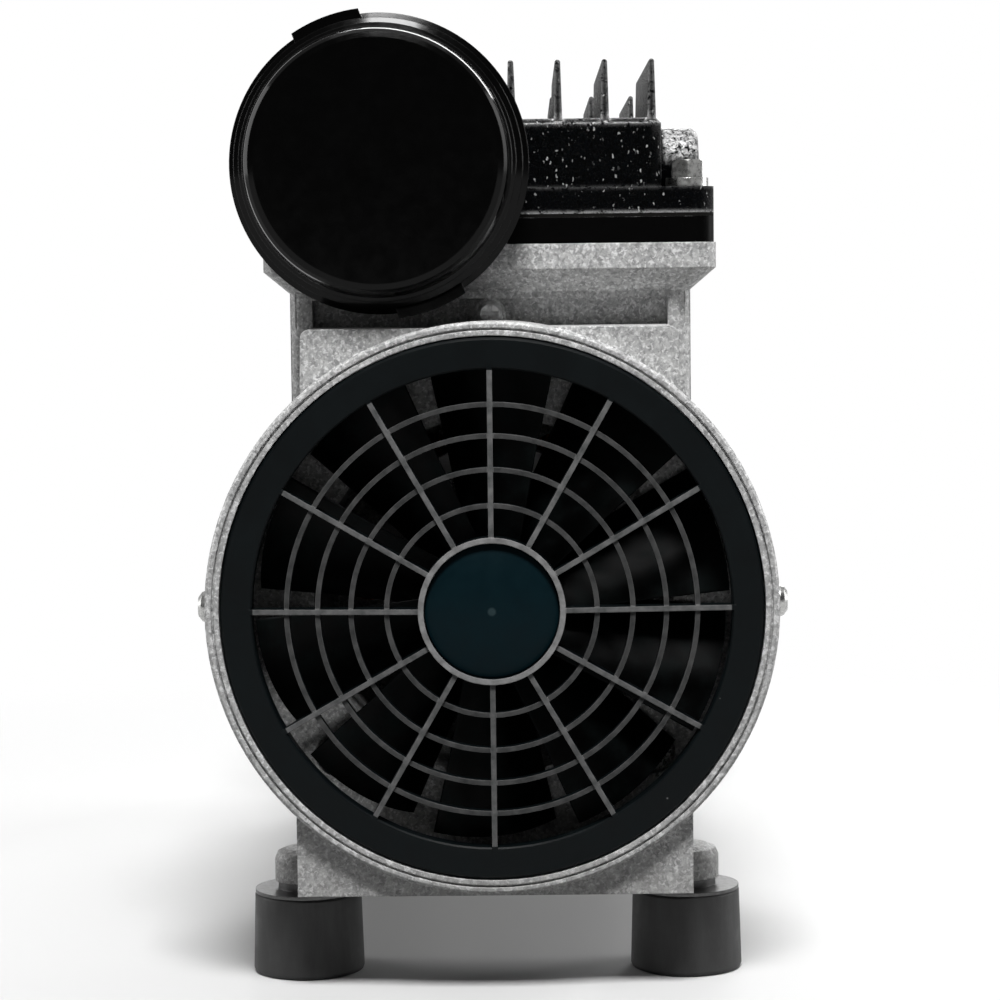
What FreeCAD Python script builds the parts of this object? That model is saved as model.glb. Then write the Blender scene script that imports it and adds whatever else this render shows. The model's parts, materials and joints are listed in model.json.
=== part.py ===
import FreeCAD, Part
import math
import os

# Twin-cylinder oil-free air compressor, in millimetres.
# +Z is up, the shaft runs along Y and the floor is z = 0. The front end is at -Y.
# Both ends are alike, so the end pieces are made for the rear end (+Y), and mirrored
# in the middle plane for the front end. "Out" is the distance from that middle plane.

# Driving dimensions

# Whole machine
shaft_height = 88.0           # shaft axis above the floor
bolt_spacing_x = 88.9         # between the foot centres, across the shaft
bolt_spacing_y = 203.2        # between the foot centres, along the shaft
fit_gap = 0.03                # radial clearance of a located piece
running_gap = 0.05            # radial clearance of a turning or sliding fit
screw_gap = 0.25              # radial clearance of a bolt in a plain hole

# Motor
stack_half = 23.0             # half the length of the stator stack
stack_width = 96.0
stack_corner = 22.0
stator_bore = 28.0            # radius
air_gap = 0.4
slot_count = 24
slot_depth = 9.0
slot_width = 3.6
slot_mouth = 1.4
winding_reach = 12.0          # how far the end turns stand out of the stack
winding_inner = 30.5          # radius
winding_outer = 41.5          # radius
tie_bolt_offset = 37.0        # tie bolt from the shaft axis, along x and along z
tie_bolt_radius = 2.5
tie_pillar_radius = 6.0
tie_bolt_flats = 8.0
tie_bolt_head = 3.2
tie_nut_height = 3.4
tie_bolt_sink = 0.5           # from the fan's wall to the seat of the head
tie_bolt_pocket = 5.2         # radius of the pocket round the head and the nut
end_ring_outer = 26.4         # radius
end_ring_inner = 17.0         # radius
end_ring_length = 6.0
rotor_vane_count = 8
rotor_vane_length = 3.0
rotor_vane_width = 2.2

# Shaft and main bearings
shaft_middle_radius = 9.0
shaft_middle_end = 32.0       # out, end of the thick middle part
bearing_seat_radius = 7.5
shaft_end_radius = 6.0
bearing_outer = 17.5          # radius
bearing_width = 11.0
bearing_lip = 2.5             # casting in front of the bearing, on the motor side
winding_air = 3.0             # from the end turns to the bearing wall

# Crank
throw = 6.0                   # crank radius, half the stroke
journal_radius = 10.5
journal_collar_radius = 11.0
crank_gap = 2.0               # from the bearing wall to the counterweight
counterweight_width = 5.5
counterweight_radius = 27.0
counterweight_angle = 150.0
rod_side_gap = 1.0            # from the counterweight to the rod
rod_width = 10.0
bush_outer = 15.0             # radius
big_end_outer = 23.5          # radius of the big-end bearing
big_end_width = 9.0
rod_eye_radius = 28.0
set_screw_radius = 2.0
set_screw_angle = 40.0        # from the direction of the throw
set_screw_sink = 0.3          # below the collar's surface

# Piston and cylinder
cylinder_bore = 25.4          # radius
sleeve_wall = 1.8
sleeve_flange_radius = 31.0
sleeve_flange_height = 3.0
sleeve_length = 33.8
sleeve_groove_inset = 1.8     # from the bore to the O-ring groove in the flange
sleeve_groove_width = 1.8
sleeve_groove_depth = 1.4
piston_radius = 24.7
piston_thickness = 4.0
cup_thickness = 0.8
cup_lip_height = 3.4
retainer_radius = 23.8
retainer_thickness = 2.2
retainer_screw_radius = 2.5
retainer_screw_head = 5.0     # radius of the countersunk head
retainer_screw_cone = 2.5     # height of its cone
retainer_screw_socket = 3.0   # across flats
retainer_spigot = 7.8         # radius of the retainer's middle, inside the cup
cup_hole_gap = 0.2            # from the spigot to the cup
piston_boss_radius = 8.0
piston_boss_depth = 4.0
deck_gap = 2.2                # retainer to valve plate at top dead centre
rod_shank_width = 17.0
rod_shank_top_width = 12.0
rod_web = 3.2

# Crankcase casting
ring_to_deck = 17.3           # from the top of the fan ring up to the top of the flange
flange_edge = 5.8             # height of the flange's upright edge
flange_bevel = 5.1            # height of the bevel under it
flange_half_x = 52.4
flange_half_y = 42.2
flange_corner = 5.0
neck_half_x = 46.6
neck_half_y = 37.0
neck_corner = 4.0
chamber_radius = 42.0
bearing_wall = 6.0
bearing_hub_radius = 22.5
bell_wall_radius = 43.6       # radius of the space for the end turns
wall_window_count = 6
wall_window_width = 15.0
side_slot_count = 4
side_slot_height = 5.0
side_slot_length = 11.0
side_slot_pitch = 10.0
recess_half_x = 41.2          # shallow recess in the neck, above the fan ring
recess_depth = 7.0
recess_rim = 1.6              # metal left above the recess
neck_boss_radius = 3.75
neck_groove_inset = 0.8       # from the neck's side to the fine groove in its front
neck_groove_width = 0.9

# Fan housing of the crankcase
ring_radius = 64.5            # outside of the bare ring
ring_wall = 3.2
ring_overlap = 4.0            # how far the wall behind the fan is sunk in the neck
fan_wall = 4.0
ring_length = 32.5
ring_groove_depth = 0.8
ring_lip_width = 1.2
ring_groove_width = 0.5
ring_edge = 0.6
plate_set_back = 4.0          # the square plate lies behind the ring's front edge
plate_thickness = 4.5
plate_half_top = 42.3
plate_half_bottom = 44.9
plate_to_neck_base = 7.9      # from the plate's top up to the bevel of the flange
plate_rise = 0.9              # from the lugs' lower face up to the plate's lower edge
plate_corner = 2.0
skirt_wall = 4.0
skirt_behind_foot = 13.6      # back edge of the skirt walls, behind the foot's centre
skirt_top_reach = 18.0        # from the fan's wall back to the upper end of that edge
skirt_top_drop = 40.0         # of that upper end, below the shaft axis
lug_radius = 7.75
lug_height = 7.5
lug_rounding = 2.5

# Feet
foot_height = 18.8
foot_bottom_radius = 13.0
foot_top_radius = 12.5
foot_disc_thickness = 0.8
foot_disc_radius = 12.4
foot_shoulder_radius = 7.0
foot_shoulder_height = 1.9
foot_stud_radius = 3.0
foot_stud_length = 6.6        # thread above the shoulder
insert_radius = 5.0
insert_length = 10.0
insert_bore = 2.6             # radius of the threaded hole

# Cylinder head and valve plate
valve_plate_thickness = 6.0
gasket_thickness = 0.8
head_half_x = 52.0
head_half_y = 41.7
head_corner = 5.0
head_flange_height = 6.0
head_box_half_x = 40.0
head_box_half_y = 38.2
head_box_height = 22.0        # from the head's lower face to the roof
head_edge = 1.2
head_roof = 5.0
head_wall = 6.5
head_divider = 5.0
fin_count = 8
fin_pitch = 10.8
fin_height = 13.4
head_box_corner = 2.0
fin_tip = 1.3
fin_base = 2.0
port_boss_radius = 9.7
port_boss_reach = 10.4        # out of the head box, sideways
port_boss_drop = 10.1         # from the roof down to the boss centre
port_boss_rounding = 2.0
outlet_radius = 5.7           # threaded hole, tapped for a quarter-inch pipe thread
outlet_depth = 14.0
passage_radius = 3.5          # from the outlet's end into the chamber
passage_length = 8.0
head_bolt_x = 46.0
head_bolt_inset = 7.5         # from the end of the head to the bolt centre
head_bolt_radius = 2.0
head_bolt_flats = 7.0
head_bolt_head = 4.2
head_bolt_depth = 8.0         # thread in the casting
head_washer_radius = 4.95
head_washer_thickness = 2.1
port_x = 12.0                 # valve ports from the middle of the plate
port_radius = 2.8
port_pitch = 9.0
reed_width = 10.0
reed_length = 30.0
reed_thickness = 0.3
reed_stop_thickness = 0.9
reed_screw_radius = 1.4
reed_screw_head_radius = 2.4
reed_screw_head = 0.8
tube_x = 20.0                 # transfer tubes from the middle plane of the head
tube_drop = 9.4               # from the roof down to the tube centre
tube_radius = 6.0
tube_wall = 1.4
tube_seat = 5.0
seal_width = 2.4
seal_height = 1.8
seal_inset = 1.2              # from the head's inner face to the groove

# Intake filter
filter_x = -24.5
filter_rise = 11.4            # axis above the lower face of the head
filter_stand_off = 5.7        # from the head's outer face to the back of the base
filter_base_length = 3.6
filter_cap_length = 21.0
filter_rim = 33.9             # radius of the cap's rim
filter_rim_width = 5.0
filter_shell = 1.8
filter_face_radius = 27.1
filter_face_edge = 2.2
filter_shoulder_one = 31.0    # radius
filter_shoulder_two = 32.5    # radius
filter_base_radius = 32.8
filter_spigot_radius = 5.0
filter_spigot_collar = 3.0
filter_tab_width = 16.0
filter_tab_proud = 1.1
filter_tab_angle = 20.0       # from straight up, towards the left
element_outer = 24.4          # radius
element_inner = 14.0          # radius

# Fan and fan cover
cover_gap = 0.3               # between the cover's skirt and the ring
cover_skirt_wall = 2.2
cover_skirt_length = 19.3
cover_proud = 0.3             # the flat rim stands proud of the ring
cover_rim_thickness = 2.4
cover_opening = 53.8          # radius inside the flat rim
cover_hub_radius = 16.5
cover_hub_wall = 1.3
cover_hub_proud = 3.5         # the hub's collar stands proud of the flat rim
cover_hub_sink = 1.7          # from the flat rim back to the hub's floor
cover_hub_floor_thickness = 1.6
spoke_count = 12
spoke_width = 1.2
spoke_depth = 4.2
grille_radii = (23.5, 31.5, 39.0, 46.0)
grille_ring_width = 1.15
grille_ring_depth = 2.6
grille_ring_set_back = 0.5    # the rings lie behind the spokes' front edge
cap_proud = 0.7               # the cap's crown stands proud of the hub's collar
cap_dome = 2.1                # height of the crown above the cap's edge
cap_radius = 15.0
cap_stem_radius = 5.0
fan_clearance = 2.1           # from the wall to the back of the fan
fan_hub_length = 16.4
fan_hub_radius = 13.0
fan_tip_radius = 54.0
fan_blade_count = 10
fan_root_chord = 19.0
fan_tip_chord = 33.0
fan_root_pitch = 52.0
fan_tip_pitch = 27.0
fan_blade_thickness = 2.0
fan_blade_camber = 2.4
clip_thickness = 1.2
clip_radius = 9.0
shaft_end_proud = 4.0         # the shaft's end stands out of the fan's hub

# Screws and grommet
cover_screw_inset = 13.0      # behind the ring's front edge
cover_screw_radius = 1.7
cover_screw_head_radius = 3.7
cover_screw_head = 2.6
neck_screw_rise = 2.8         # of its centre, above the square plate
neck_screw_radius = 2.0
neck_screw_head_radius = 3.1
neck_screw_head = 2.4
neck_screw_length = 6.0
neck_screw_pocket = 4.0       # spot face sunk in the ring round the screw's head
grommet_out = 31.0
grommet_drop = 27.0           # below the shaft axis
grommet_radius = 4.5
grommet_lip = 1.5
grommet_bore = 2.4

# Places worked out from the driving dimensions

wall_start = stack_half + winding_reach + winding_air
bearing_start = wall_start + bearing_lip
bearing_end = bearing_start + bearing_width
hub_end = bearing_end + 0.5
counterweight_start = hub_end + crank_gap
counterweight_end = counterweight_start + counterweight_width
crank_out = counterweight_end + rod_side_gap + rod_width / 2
sleeve_outer = cylinder_bore + sleeve_wall
neck_front = crank_out + neck_half_y
ring_back = neck_front - ring_overlap
ring_front = ring_back + ring_length
plate_front = ring_front - plate_set_back
deck_height = shaft_height + ring_radius + ring_to_deck
sleeve_bottom = deck_height - sleeve_length
neck_base_height = deck_height - flange_edge - flange_bevel
rod_length = (
    deck_height - deck_gap - retainer_thickness - cup_thickness - shaft_height - throw
)
ring_bore = ring_radius - ring_wall
fan_floor = ring_back + fan_wall
cover_outer = ring_bore - cover_gap
cover_front = ring_front + cover_proud
cover_skirt_back = cover_front - cover_skirt_length
cover_hub_front = cover_front + cover_hub_proud
cover_hub_floor = cover_front - cover_hub_sink
cover_screw_out = ring_front - cover_screw_inset
cap_front = cover_hub_front + cap_proud
cap_edge_front = cap_front - cap_dome
fan_back = fan_floor + fan_clearance
shaft_end_reach = fan_back + fan_hub_length + shaft_end_proud
foot_x = bolt_spacing_x / 2
foot_out = bolt_spacing_y / 2
disc_top = foot_height + foot_disc_thickness
lug_bottom = disc_top + foot_shoulder_height
lug_top = lug_bottom + lug_height
skirt_back = foot_out - skirt_behind_foot
plate_bottom = lug_bottom + plate_rise
plate_top = neck_base_height - plate_to_neck_base
plate_upper_face = deck_height + valve_plate_thickness
head_bottom = plate_upper_face + gasket_thickness
head_roof_height = head_bottom + head_box_height
head_bolt_out = head_half_y - head_bolt_inset
tube_height = head_roof_height - tube_drop
port_boss_height = head_roof_height - port_boss_drop
inner_face = crank_out - head_box_half_y
outer_face = crank_out + head_box_half_y
filter_height = head_bottom + filter_rise
filter_back = outer_face + filter_stand_off
filter_split = filter_back + filter_base_length
filter_front = filter_split + filter_cap_length
neck_screw_height = plate_top + neck_screw_rise
tie_bolt_seat = ring_back + tie_bolt_sink
grommet_height = shaft_height - grommet_drop
cup_hole_radius = retainer_spigot + cup_hole_gap
sleeve_groove_inner = cylinder_bore + sleeve_groove_inset
sleeve_groove_outer = sleeve_groove_inner + sleeve_groove_width


# Basic solids

def rod_y(radius, start, end, x=0.0, z=shaft_height):
    return Part.makeCylinder(
        radius, end - start, FreeCAD.Vector(x, start, z), FreeCAD.Vector(0, 1, 0)
    )


def rod_x(radius, start, end, y, z):
    return Part.makeCylinder(
        radius, end - start, FreeCAD.Vector(start, y, z), FreeCAD.Vector(1, 0, 0)
    )


def rod_z(radius, bottom, top, x=0.0, y=0.0):
    return Part.makeCylinder(radius, top - bottom, FreeCAD.Vector(x, y, bottom))


def tube_y(outer, inner, start, end, x=0.0, z=shaft_height):
    return rod_y(outer, start, end, x, z).cut(rod_y(inner, start - 1, end + 1, x, z))


def tube_z(outer, inner, bottom, top, x=0.0, y=0.0):
    return rod_z(outer, bottom, top, x, y).cut(rod_z(inner, bottom - 1, top + 1, x, y))


def block(x0, x1, y0, y1, z0, z1):
    return Part.makeBox(x1 - x0, y1 - y0, z1 - z0, FreeCAD.Vector(x0, y0, z0))


def rounded_outline(half_u, half_v, corner):
    """Rectangle with round corners about the origin of the XY plane."""
    quarter = math.pi / 2
    arcs = []
    ends = []
    for turn, (side_u, side_v) in enumerate(((1, 1), (-1, 1), (-1, -1), (1, -1))):
        u = side_u * (half_u - corner)
        v = side_v * (half_v - corner)
        points = []
        for share in (0.0, 0.5, 1.0):
            angle = quarter * (turn + share)
            points.append(
                FreeCAD.Vector(u + corner * math.cos(angle), v + corner * math.sin(angle), 0)
            )
        ends.append((points[0], points[2]))
        arcs.append(Part.Arc(*points).toShape())
    edges = []
    for index, arc in enumerate(arcs):
        edges.append(arc)
        following = ends[(index + 1) % len(ends)]
        edges.append(Part.makeLine(ends[index][1], following[0]))
    return Part.Wire(edges)


def rounded_block(half_x, half_y, corner, bottom, top, y=0.0):
    """Upright block with round vertical corners, centred on x = 0 and the given y."""
    outline = rounded_outline(half_x, half_y, corner)
    outline.translate(FreeCAD.Vector(0, y, bottom))
    return Part.Face(outline).extrude(FreeCAD.Vector(0, 0, top - bottom))


def rounded_prism_y(half_x, half_z, corner, start, end, z=shaft_height):
    """Block along the shaft with round long edges, centred on the given height."""
    outline = rounded_outline(half_x, half_z, corner)
    outline.rotate(FreeCAD.Vector(0, 0, 0), FreeCAD.Vector(1, 0, 0), 90)
    outline.translate(FreeCAD.Vector(0, start, z))
    return Part.Face(outline).extrude(FreeCAD.Vector(0, end - start, 0))


def polygon_prism(points, direction):
    """Extrude a closed outline of points."""
    vectors = [FreeCAD.Vector(*point) for point in points]
    vectors.append(vectors[0])
    return Part.Face(Part.makePolygon(vectors)).extrude(FreeCAD.Vector(*direction))


def revolve_y(profile, x=0.0, z=shaft_height):
    """Turn an outline of (radius, out) points round a line along Y."""
    vectors = [FreeCAD.Vector(x + radius, out, z) for radius, out in profile]
    vectors.append(vectors[0])
    face = Part.Face(Part.makePolygon(vectors))
    return face.revolve(FreeCAD.Vector(x, 0, z), FreeCAD.Vector(0, 1, 0), 360)


def revolve_z(profile, x=0.0, y=0.0):
    """Turn an outline of (radius, height) points round an upright line."""
    vectors = [FreeCAD.Vector(x + radius, y, height) for radius, height in profile]
    vectors.append(vectors[0])
    face = Part.Face(Part.makePolygon(vectors))
    return face.revolve(FreeCAD.Vector(x, y, 0), FreeCAD.Vector(0, 0, 1), 360)


def hexagon_z(flats, bottom, top, x, y):
    """Upright hexagon with a corner towards the front."""
    corner = flats / math.sqrt(3)
    points = []
    for step in range(6):
        angle = math.radians(90 + 60 * step)
        points.append((x + corner * math.cos(angle), y + corner * math.sin(angle), bottom))
    return polygon_prism(points, (0, 0, top - bottom))


def hexagon_y(flats, start, end, x, z):
    """Hexagon along the shaft."""
    corner = flats / math.sqrt(3)
    points = []
    for step in range(6):
        angle = math.radians(60 * step)
        points.append((x + corner * math.cos(angle), start, z + corner * math.sin(angle)))
    return polygon_prism(points, (0, end - start, 0))


def turned(shape, degrees):
    """Copy turned about the shaft axis."""
    copy = shape.copy()
    copy.rotate(
        FreeCAD.Vector(0, 0, shaft_height), FreeCAD.Vector(0, 1, 0), degrees
    )
    return copy


def ring_of(shape, count):
    """Copies of a shape spread evenly about the shaft axis."""
    return [turned(shape, 360 * index / count) for index in range(count)]


def mirrored(shape):
    """The same piece at the front end."""
    return shape.mirror(FreeCAD.Vector(0, 0, 0), FreeCAD.Vector(0, 1, 0))


def sideways(shape):
    """The same piece on the other side of the shaft."""
    return shape.mirror(FreeCAD.Vector(0, 0, 0), FreeCAD.Vector(1, 0, 0))


def joined(shapes):
    """One solid out of several that meet."""
    return shapes[0].fuse(shapes[1:]).removeSplitter()


def loose(shapes):
    """Separate solids kept in one node."""
    return Part.makeCompound(shapes)


def both_ends(shape):
    return [mirrored(shape), shape]


def four_corners(shape):
    """A piece of the rear right corner, repeated at all four."""
    right = both_ends(shape)
    return right + [sideways(piece) for piece in right]


# Motor

def stator_core():
    core = rounded_prism_y(
        stack_width / 2, stack_width / 2, stack_corner, -stack_half, stack_half
    )
    slot = block(
        -slot_width / 2, slot_width / 2,
        -stack_half - 1, stack_half + 1,
        shaft_height + stator_bore + slot_mouth,
        shaft_height + stator_bore + slot_mouth + slot_depth,
    )
    mouth = block(
        -slot_mouth / 2, slot_mouth / 2,
        -stack_half - 1, stack_half + 1,
        shaft_height, shaft_height + stator_bore + slot_mouth + 1,
    )
    cuts = [rod_y(stator_bore, -stack_half - 1, stack_half + 1)]
    cuts += ring_of(slot, slot_count)
    cuts += ring_of(mouth, slot_count)
    for x in (-tie_bolt_offset, tie_bolt_offset):
        for rise in (-tie_bolt_offset, tie_bolt_offset):
            cuts.append(
                rod_y(
                    tie_bolt_radius + screw_gap, -stack_half - 1, stack_half + 1,
                    x, shaft_height + rise,
                )
            )
    return core.cut(cuts)


def winding():
    """End turns at one end, with a rounded bulge."""
    soft = 3.0
    start = stack_half
    end = stack_half + winding_reach
    profile = (
        (winding_inner + soft, start),
        (winding_outer - soft, start),
        (winding_outer, start + soft),
        (winding_outer, end - soft),
        (winding_outer - soft, end),
        (winding_inner + soft, end),
        (winding_inner, end - soft),
        (winding_inner, start + soft),
    )
    return revolve_y(profile)


def rotor_core():
    radius = stator_bore - air_gap
    return tube_y(radius, shaft_middle_radius + fit_gap, -stack_half, stack_half)


def end_ring():
    """Short-circuit ring with its cast cooling vanes."""
    start = stack_half
    ring_end = start + end_ring_length
    ring = tube_y(end_ring_outer, end_ring_inner, start, ring_end)
    vane = block(
        -rotor_vane_width / 2, rotor_vane_width / 2,
        ring_end - 1, ring_end + rotor_vane_length,
        shaft_height + end_ring_inner + 1, shaft_height + end_ring_outer - 1,
    )
    return joined([ring] + ring_of(vane, rotor_vane_count))


def main_bearing():
    """Sealed ball bearing with a shallow groove between its rings."""
    inner = bearing_seat_radius + running_gap
    groove_in = inner + 2.2
    groove_out = bearing_outer - 2.4
    groove = 0.5
    profile = (
        (inner, bearing_start),
        (groove_in, bearing_start),
        (groove_in, bearing_start + groove),
        (groove_out, bearing_start + groove),
        (groove_out, bearing_start),
        (bearing_outer, bearing_start),
        (bearing_outer, bearing_end),
        (groove_out, bearing_end),
        (groove_out, bearing_end - groove),
        (groove_in, bearing_end - groove),
        (groove_in, bearing_end),
        (inner, bearing_end),
    )
    return revolve_y(profile)


def shaft():
    groove = clip_thickness + 0.1
    groove_out = fan_back + fan_hub_length
    half = [
        rod_y(shaft_middle_radius, 0, shaft_middle_end),
        rod_y(bearing_seat_radius, 0, hub_end + crank_gap / 2),
        rod_y(shaft_end_radius, 0, shaft_end_reach),
    ]
    rear = joined(half)
    rear = rear.cut(
        tube_y(shaft_end_radius + 1, shaft_end_radius - 0.8, groove_out, groove_out + groove)
    )
    return joined([rear, mirrored(rear)])


def tie_bolt(x, rise):
    """Long bolt through both castings, with its head at the rear."""
    seat = tie_bolt_seat
    z = shaft_height + rise
    shank = rod_y(tie_bolt_radius, -seat - tie_bolt_head, seat, x, z)
    head = hexagon_y(tie_bolt_flats, seat, seat + tie_bolt_head, x, z)
    return joined([shank, head])


def tie_nut(x, rise):
    end = -tie_bolt_seat
    start = end - tie_nut_height
    z = shaft_height + rise
    nut = hexagon_y(tie_bolt_flats, start, end, x, z)
    return nut.cut(rod_y(tie_bolt_radius + fit_gap, start - 1, end + 1, x, z))


# Crankcase

def plate_block(offset, start, end):
    """Square plate behind the ring, drawn in by an offset, with round corners."""
    low = plate_bottom + offset
    high = plate_top - offset
    points = (
        (-plate_half_bottom + offset, start, low),
        (plate_half_bottom - offset, start, low),
        (plate_half_top - offset, start, high),
        (-plate_half_top + offset, start, high),
    )
    plate = polygon_prism(points, (0, end - start, 0))
    corners = [
        edge for edge in plate.Edges if abs(edge.BoundBox.YLength - (end - start)) < 0.01
    ]
    return plate.makeFillet(plate_corner, corners)


def crank_box():
    """Straight sides, round below the shaft, flat top under the flange."""
    upright = block(
        -neck_half_x, neck_half_x, wall_start, ring_back + 1,
        shaft_height, neck_base_height,
    )
    barrel = rod_y(neck_half_x, wall_start, ring_back + 1)
    return [upright, barrel]


def neck():
    lower = shaft_height + chamber_radius - 8
    return rounded_block(
        neck_half_x, neck_half_y, neck_corner, lower, neck_base_height, crank_out
    )


def flange():
    small = rounded_outline(neck_half_x, neck_half_y, neck_corner)
    small.translate(FreeCAD.Vector(0, crank_out, neck_base_height))
    large = rounded_outline(flange_half_x, flange_half_y, flange_corner)
    large.translate(FreeCAD.Vector(0, crank_out, neck_base_height + flange_bevel))
    bevel = Part.makeLoft([small, large], True, True)
    edge = rounded_block(
        flange_half_x, flange_half_y, flange_corner,
        neck_base_height + flange_bevel, deck_height, crank_out,
    )
    return [bevel, edge]


def fan_ring():
    """Bare ring with the fine groove in its front edge."""
    lip = ring_bore + ring_lip_width
    groove = lip + ring_groove_width
    floor = ring_front - ring_groove_depth
    profile = (
        (0, ring_back),
        (ring_radius, ring_back),
        (ring_radius, ring_front - ring_edge),
        (ring_radius - ring_edge, ring_front),
        (groove, ring_front),
        (groove, floor),
        (lip, floor),
        (lip, ring_front),
        (0, ring_front),
    )
    return revolve_y(profile)


def foot_lug():
    top = lug_top
    arc = lug_rounding
    diagonal = arc * (1 - math.sqrt(0.5))
    profile = (
        (0, lug_bottom),
        (lug_radius, lug_bottom),
        (lug_radius, top - arc),
        (lug_radius - diagonal, top - diagonal),
        (lug_radius - arc, top),
        (0, top),
    )
    return revolve_z(profile, foot_x, foot_out)


def skirt_side():
    """Side wall of the skirt, from the square plate back past the foot lug."""
    back_top = ring_back - skirt_top_reach
    high = shaft_height - skirt_top_drop
    inner = plate_half_bottom - skirt_wall
    points = (
        (inner, plate_front, plate_bottom),
        (inner, skirt_back, plate_bottom),
        (inner, back_top, high),
        (inner, plate_front, high),
    )
    return polygon_prism(points, (skirt_wall, 0, 0))


def side_slots():
    """Cooling-air outlets in the side of the motor end, rounded at both ends."""
    middle = stack_half + (winding_reach + winding_air) / 2
    reach = stack_width / 2 + 1
    straight = (side_slot_length - side_slot_height) / 2
    slots = []
    for index in range(side_slot_count):
        z = shaft_height + side_slot_pitch * (index - (side_slot_count - 1) / 2)
        half = side_slot_height / 2
        slots.append(block(0, reach, middle - straight, middle + straight, z - half, z + half))
        slots.append(rod_x(half, 0, reach, middle - straight, z))
        slots.append(rod_x(half, 0, reach, middle + straight, z))
    return slots + [sideways(slot) for slot in slots]


def wall_windows():
    """Openings in the bearing wall that let the fan's air into the motor."""
    inner = bearing_hub_radius + 2.5
    outer = chamber_radius - 3
    middle = (inner + outer) / 2
    window = rod_y(wall_window_width / 2, wall_start - 1, wall_start + bearing_wall + 1,
                   0, shaft_height + middle)
    return [turned(window, 30 + 360 * index / wall_window_count)
            for index in range(wall_window_count)]


def crankcase(lead_hole):
    bell = rounded_prism_y(
        stack_width / 2, stack_width / 2, stack_corner, stack_half, wall_start + bearing_wall
    )
    pillars = []
    for x in (-tie_bolt_offset, tie_bolt_offset):
        pillars.append(
            rod_y(tie_pillar_radius, wall_start, ring_back + 1, x,
                  shaft_height - tie_bolt_offset)
        )
    lugs = [foot_lug(), sideways(foot_lug())]
    skirts = [skirt_side(), sideways(skirt_side())]
    housing = plate_block(0, ring_back, plate_front)
    pockets = plate_block(skirt_wall, ring_back - 1, plate_front - plate_thickness)
    pockets = pockets.cut(rod_y(ring_radius, ring_back - 2, plate_front))
    housing = housing.cut(pockets)
    hub = rod_y(bearing_hub_radius, wall_start, hub_end)
    shell = joined(
        [bell] + crank_box() + [neck()] + flange() + [housing, fan_ring()]
        + skirts + lugs + pillars
    )
    cuts = [
        rod_y(ring_bore, fan_floor, ring_front + 1),
        rod_y(chamber_radius, wall_start + bearing_wall, fan_floor + 1),
        rod_y(bell_wall_radius, stack_half - 1, wall_start),
        rod_z(sleeve_outer + fit_gap, sleeve_bottom, deck_height + 1, 0, crank_out),
        rod_z(
            sleeve_flange_radius + fit_gap, deck_height - sleeve_flange_height,
            deck_height + 1, 0, crank_out,
        ),
        rod_z(
            chamber_radius / 2, shaft_height + chamber_radius / 2, sleeve_bottom + 1,
            0, crank_out,
        ),
    ]
    shell = shell.cut(cuts)
    shell = joined([shell, hub])
    details = [
        rod_y(bearing_outer + fit_gap, bearing_start, hub_end + 1),
        rod_y(bearing_outer - 3, wall_start - 1, hub_end),
    ]
    details += wall_windows()
    details += side_slots()
    recess = block(
        -recess_half_x, recess_half_x, neck_front - recess_depth, neck_front + 1,
        plate_top, neck_base_height - recess_rim,
    )
    boss = rod_y(
        neck_boss_radius, neck_front - recess_depth - 1, neck_front, 0, neck_screw_height
    )
    web = block(
        -neck_boss_radius, neck_boss_radius, neck_front - recess_depth - 1, neck_front,
        plate_top - 1, neck_screw_height,
    )
    details.append(recess.cut([boss, web]))
    details.append(
        rod_y(
            neck_screw_radius + fit_gap, neck_front - neck_screw_length, neck_front + 1,
            0, neck_screw_height,
        )
    )
    details.append(
        rod_y(
            neck_screw_head_radius + 2 * screw_gap, neck_front,
            neck_front + neck_screw_pocket, 0, neck_screw_height,
        )
    )
    groove_end = neck_half_x - neck_groove_inset
    groove = block(
        groove_end - neck_groove_width, groove_end, neck_front - 1, neck_front + 1,
        plate_top, neck_base_height,
    )
    details += [groove, sideways(groove)]
    for x in (-tie_bolt_offset, tie_bolt_offset):
        for rise in (-tie_bolt_offset, tie_bolt_offset):
            z = shaft_height + rise
            details.append(
                rod_y(tie_bolt_radius + screw_gap, stack_half - 1, fan_floor + 1, x, z)
            )
            details.append(rod_y(tie_bolt_pocket, tie_bolt_seat, fan_floor + 1, x, z))
    for x in (-head_bolt_x, head_bolt_x):
        for side in (-head_bolt_out, head_bolt_out):
            details.append(
                rod_z(
                    head_bolt_radius + fit_gap, deck_height - head_bolt_depth,
                    deck_height + 1, x, crank_out + side,
                )
            )
    for x in (-foot_x, foot_x):
        details.append(
            rod_z(
                foot_stud_radius + fit_gap, lug_bottom - 1, lug_bottom + foot_stud_length,
                x, foot_out,
            )
        )
    details.append(
        rod_x(
            cover_screw_radius + screw_gap, -ring_radius - 1, ring_radius + 1,
            cover_screw_out, shaft_height,
        )
    )
    if lead_hole:
        details.append(
            rod_x(
                grommet_radius, 0, stack_width / 2 + 1, grommet_out, grommet_height,
            )
        )
    return shell.cut(details)


def grommet():
    """Rubber grommet for the motor leads, with a lip inside and outside the wall."""
    wall_outer = stack_width / 2
    z = grommet_height
    body = rod_x(grommet_radius, wall_outer - 5, wall_outer + 1, grommet_out, z)
    lip = rod_x(grommet_radius + grommet_lip, wall_outer, wall_outer + 1.6, grommet_out, z)
    nose = rod_x(grommet_bore + 1.6, wall_outer + 1, wall_outer + 5, grommet_out, z)
    bore = rod_x(grommet_bore, wall_outer - 8, wall_outer + 7, grommet_out, z)
    return joined([body, lip, nose]).cut(bore)


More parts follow.
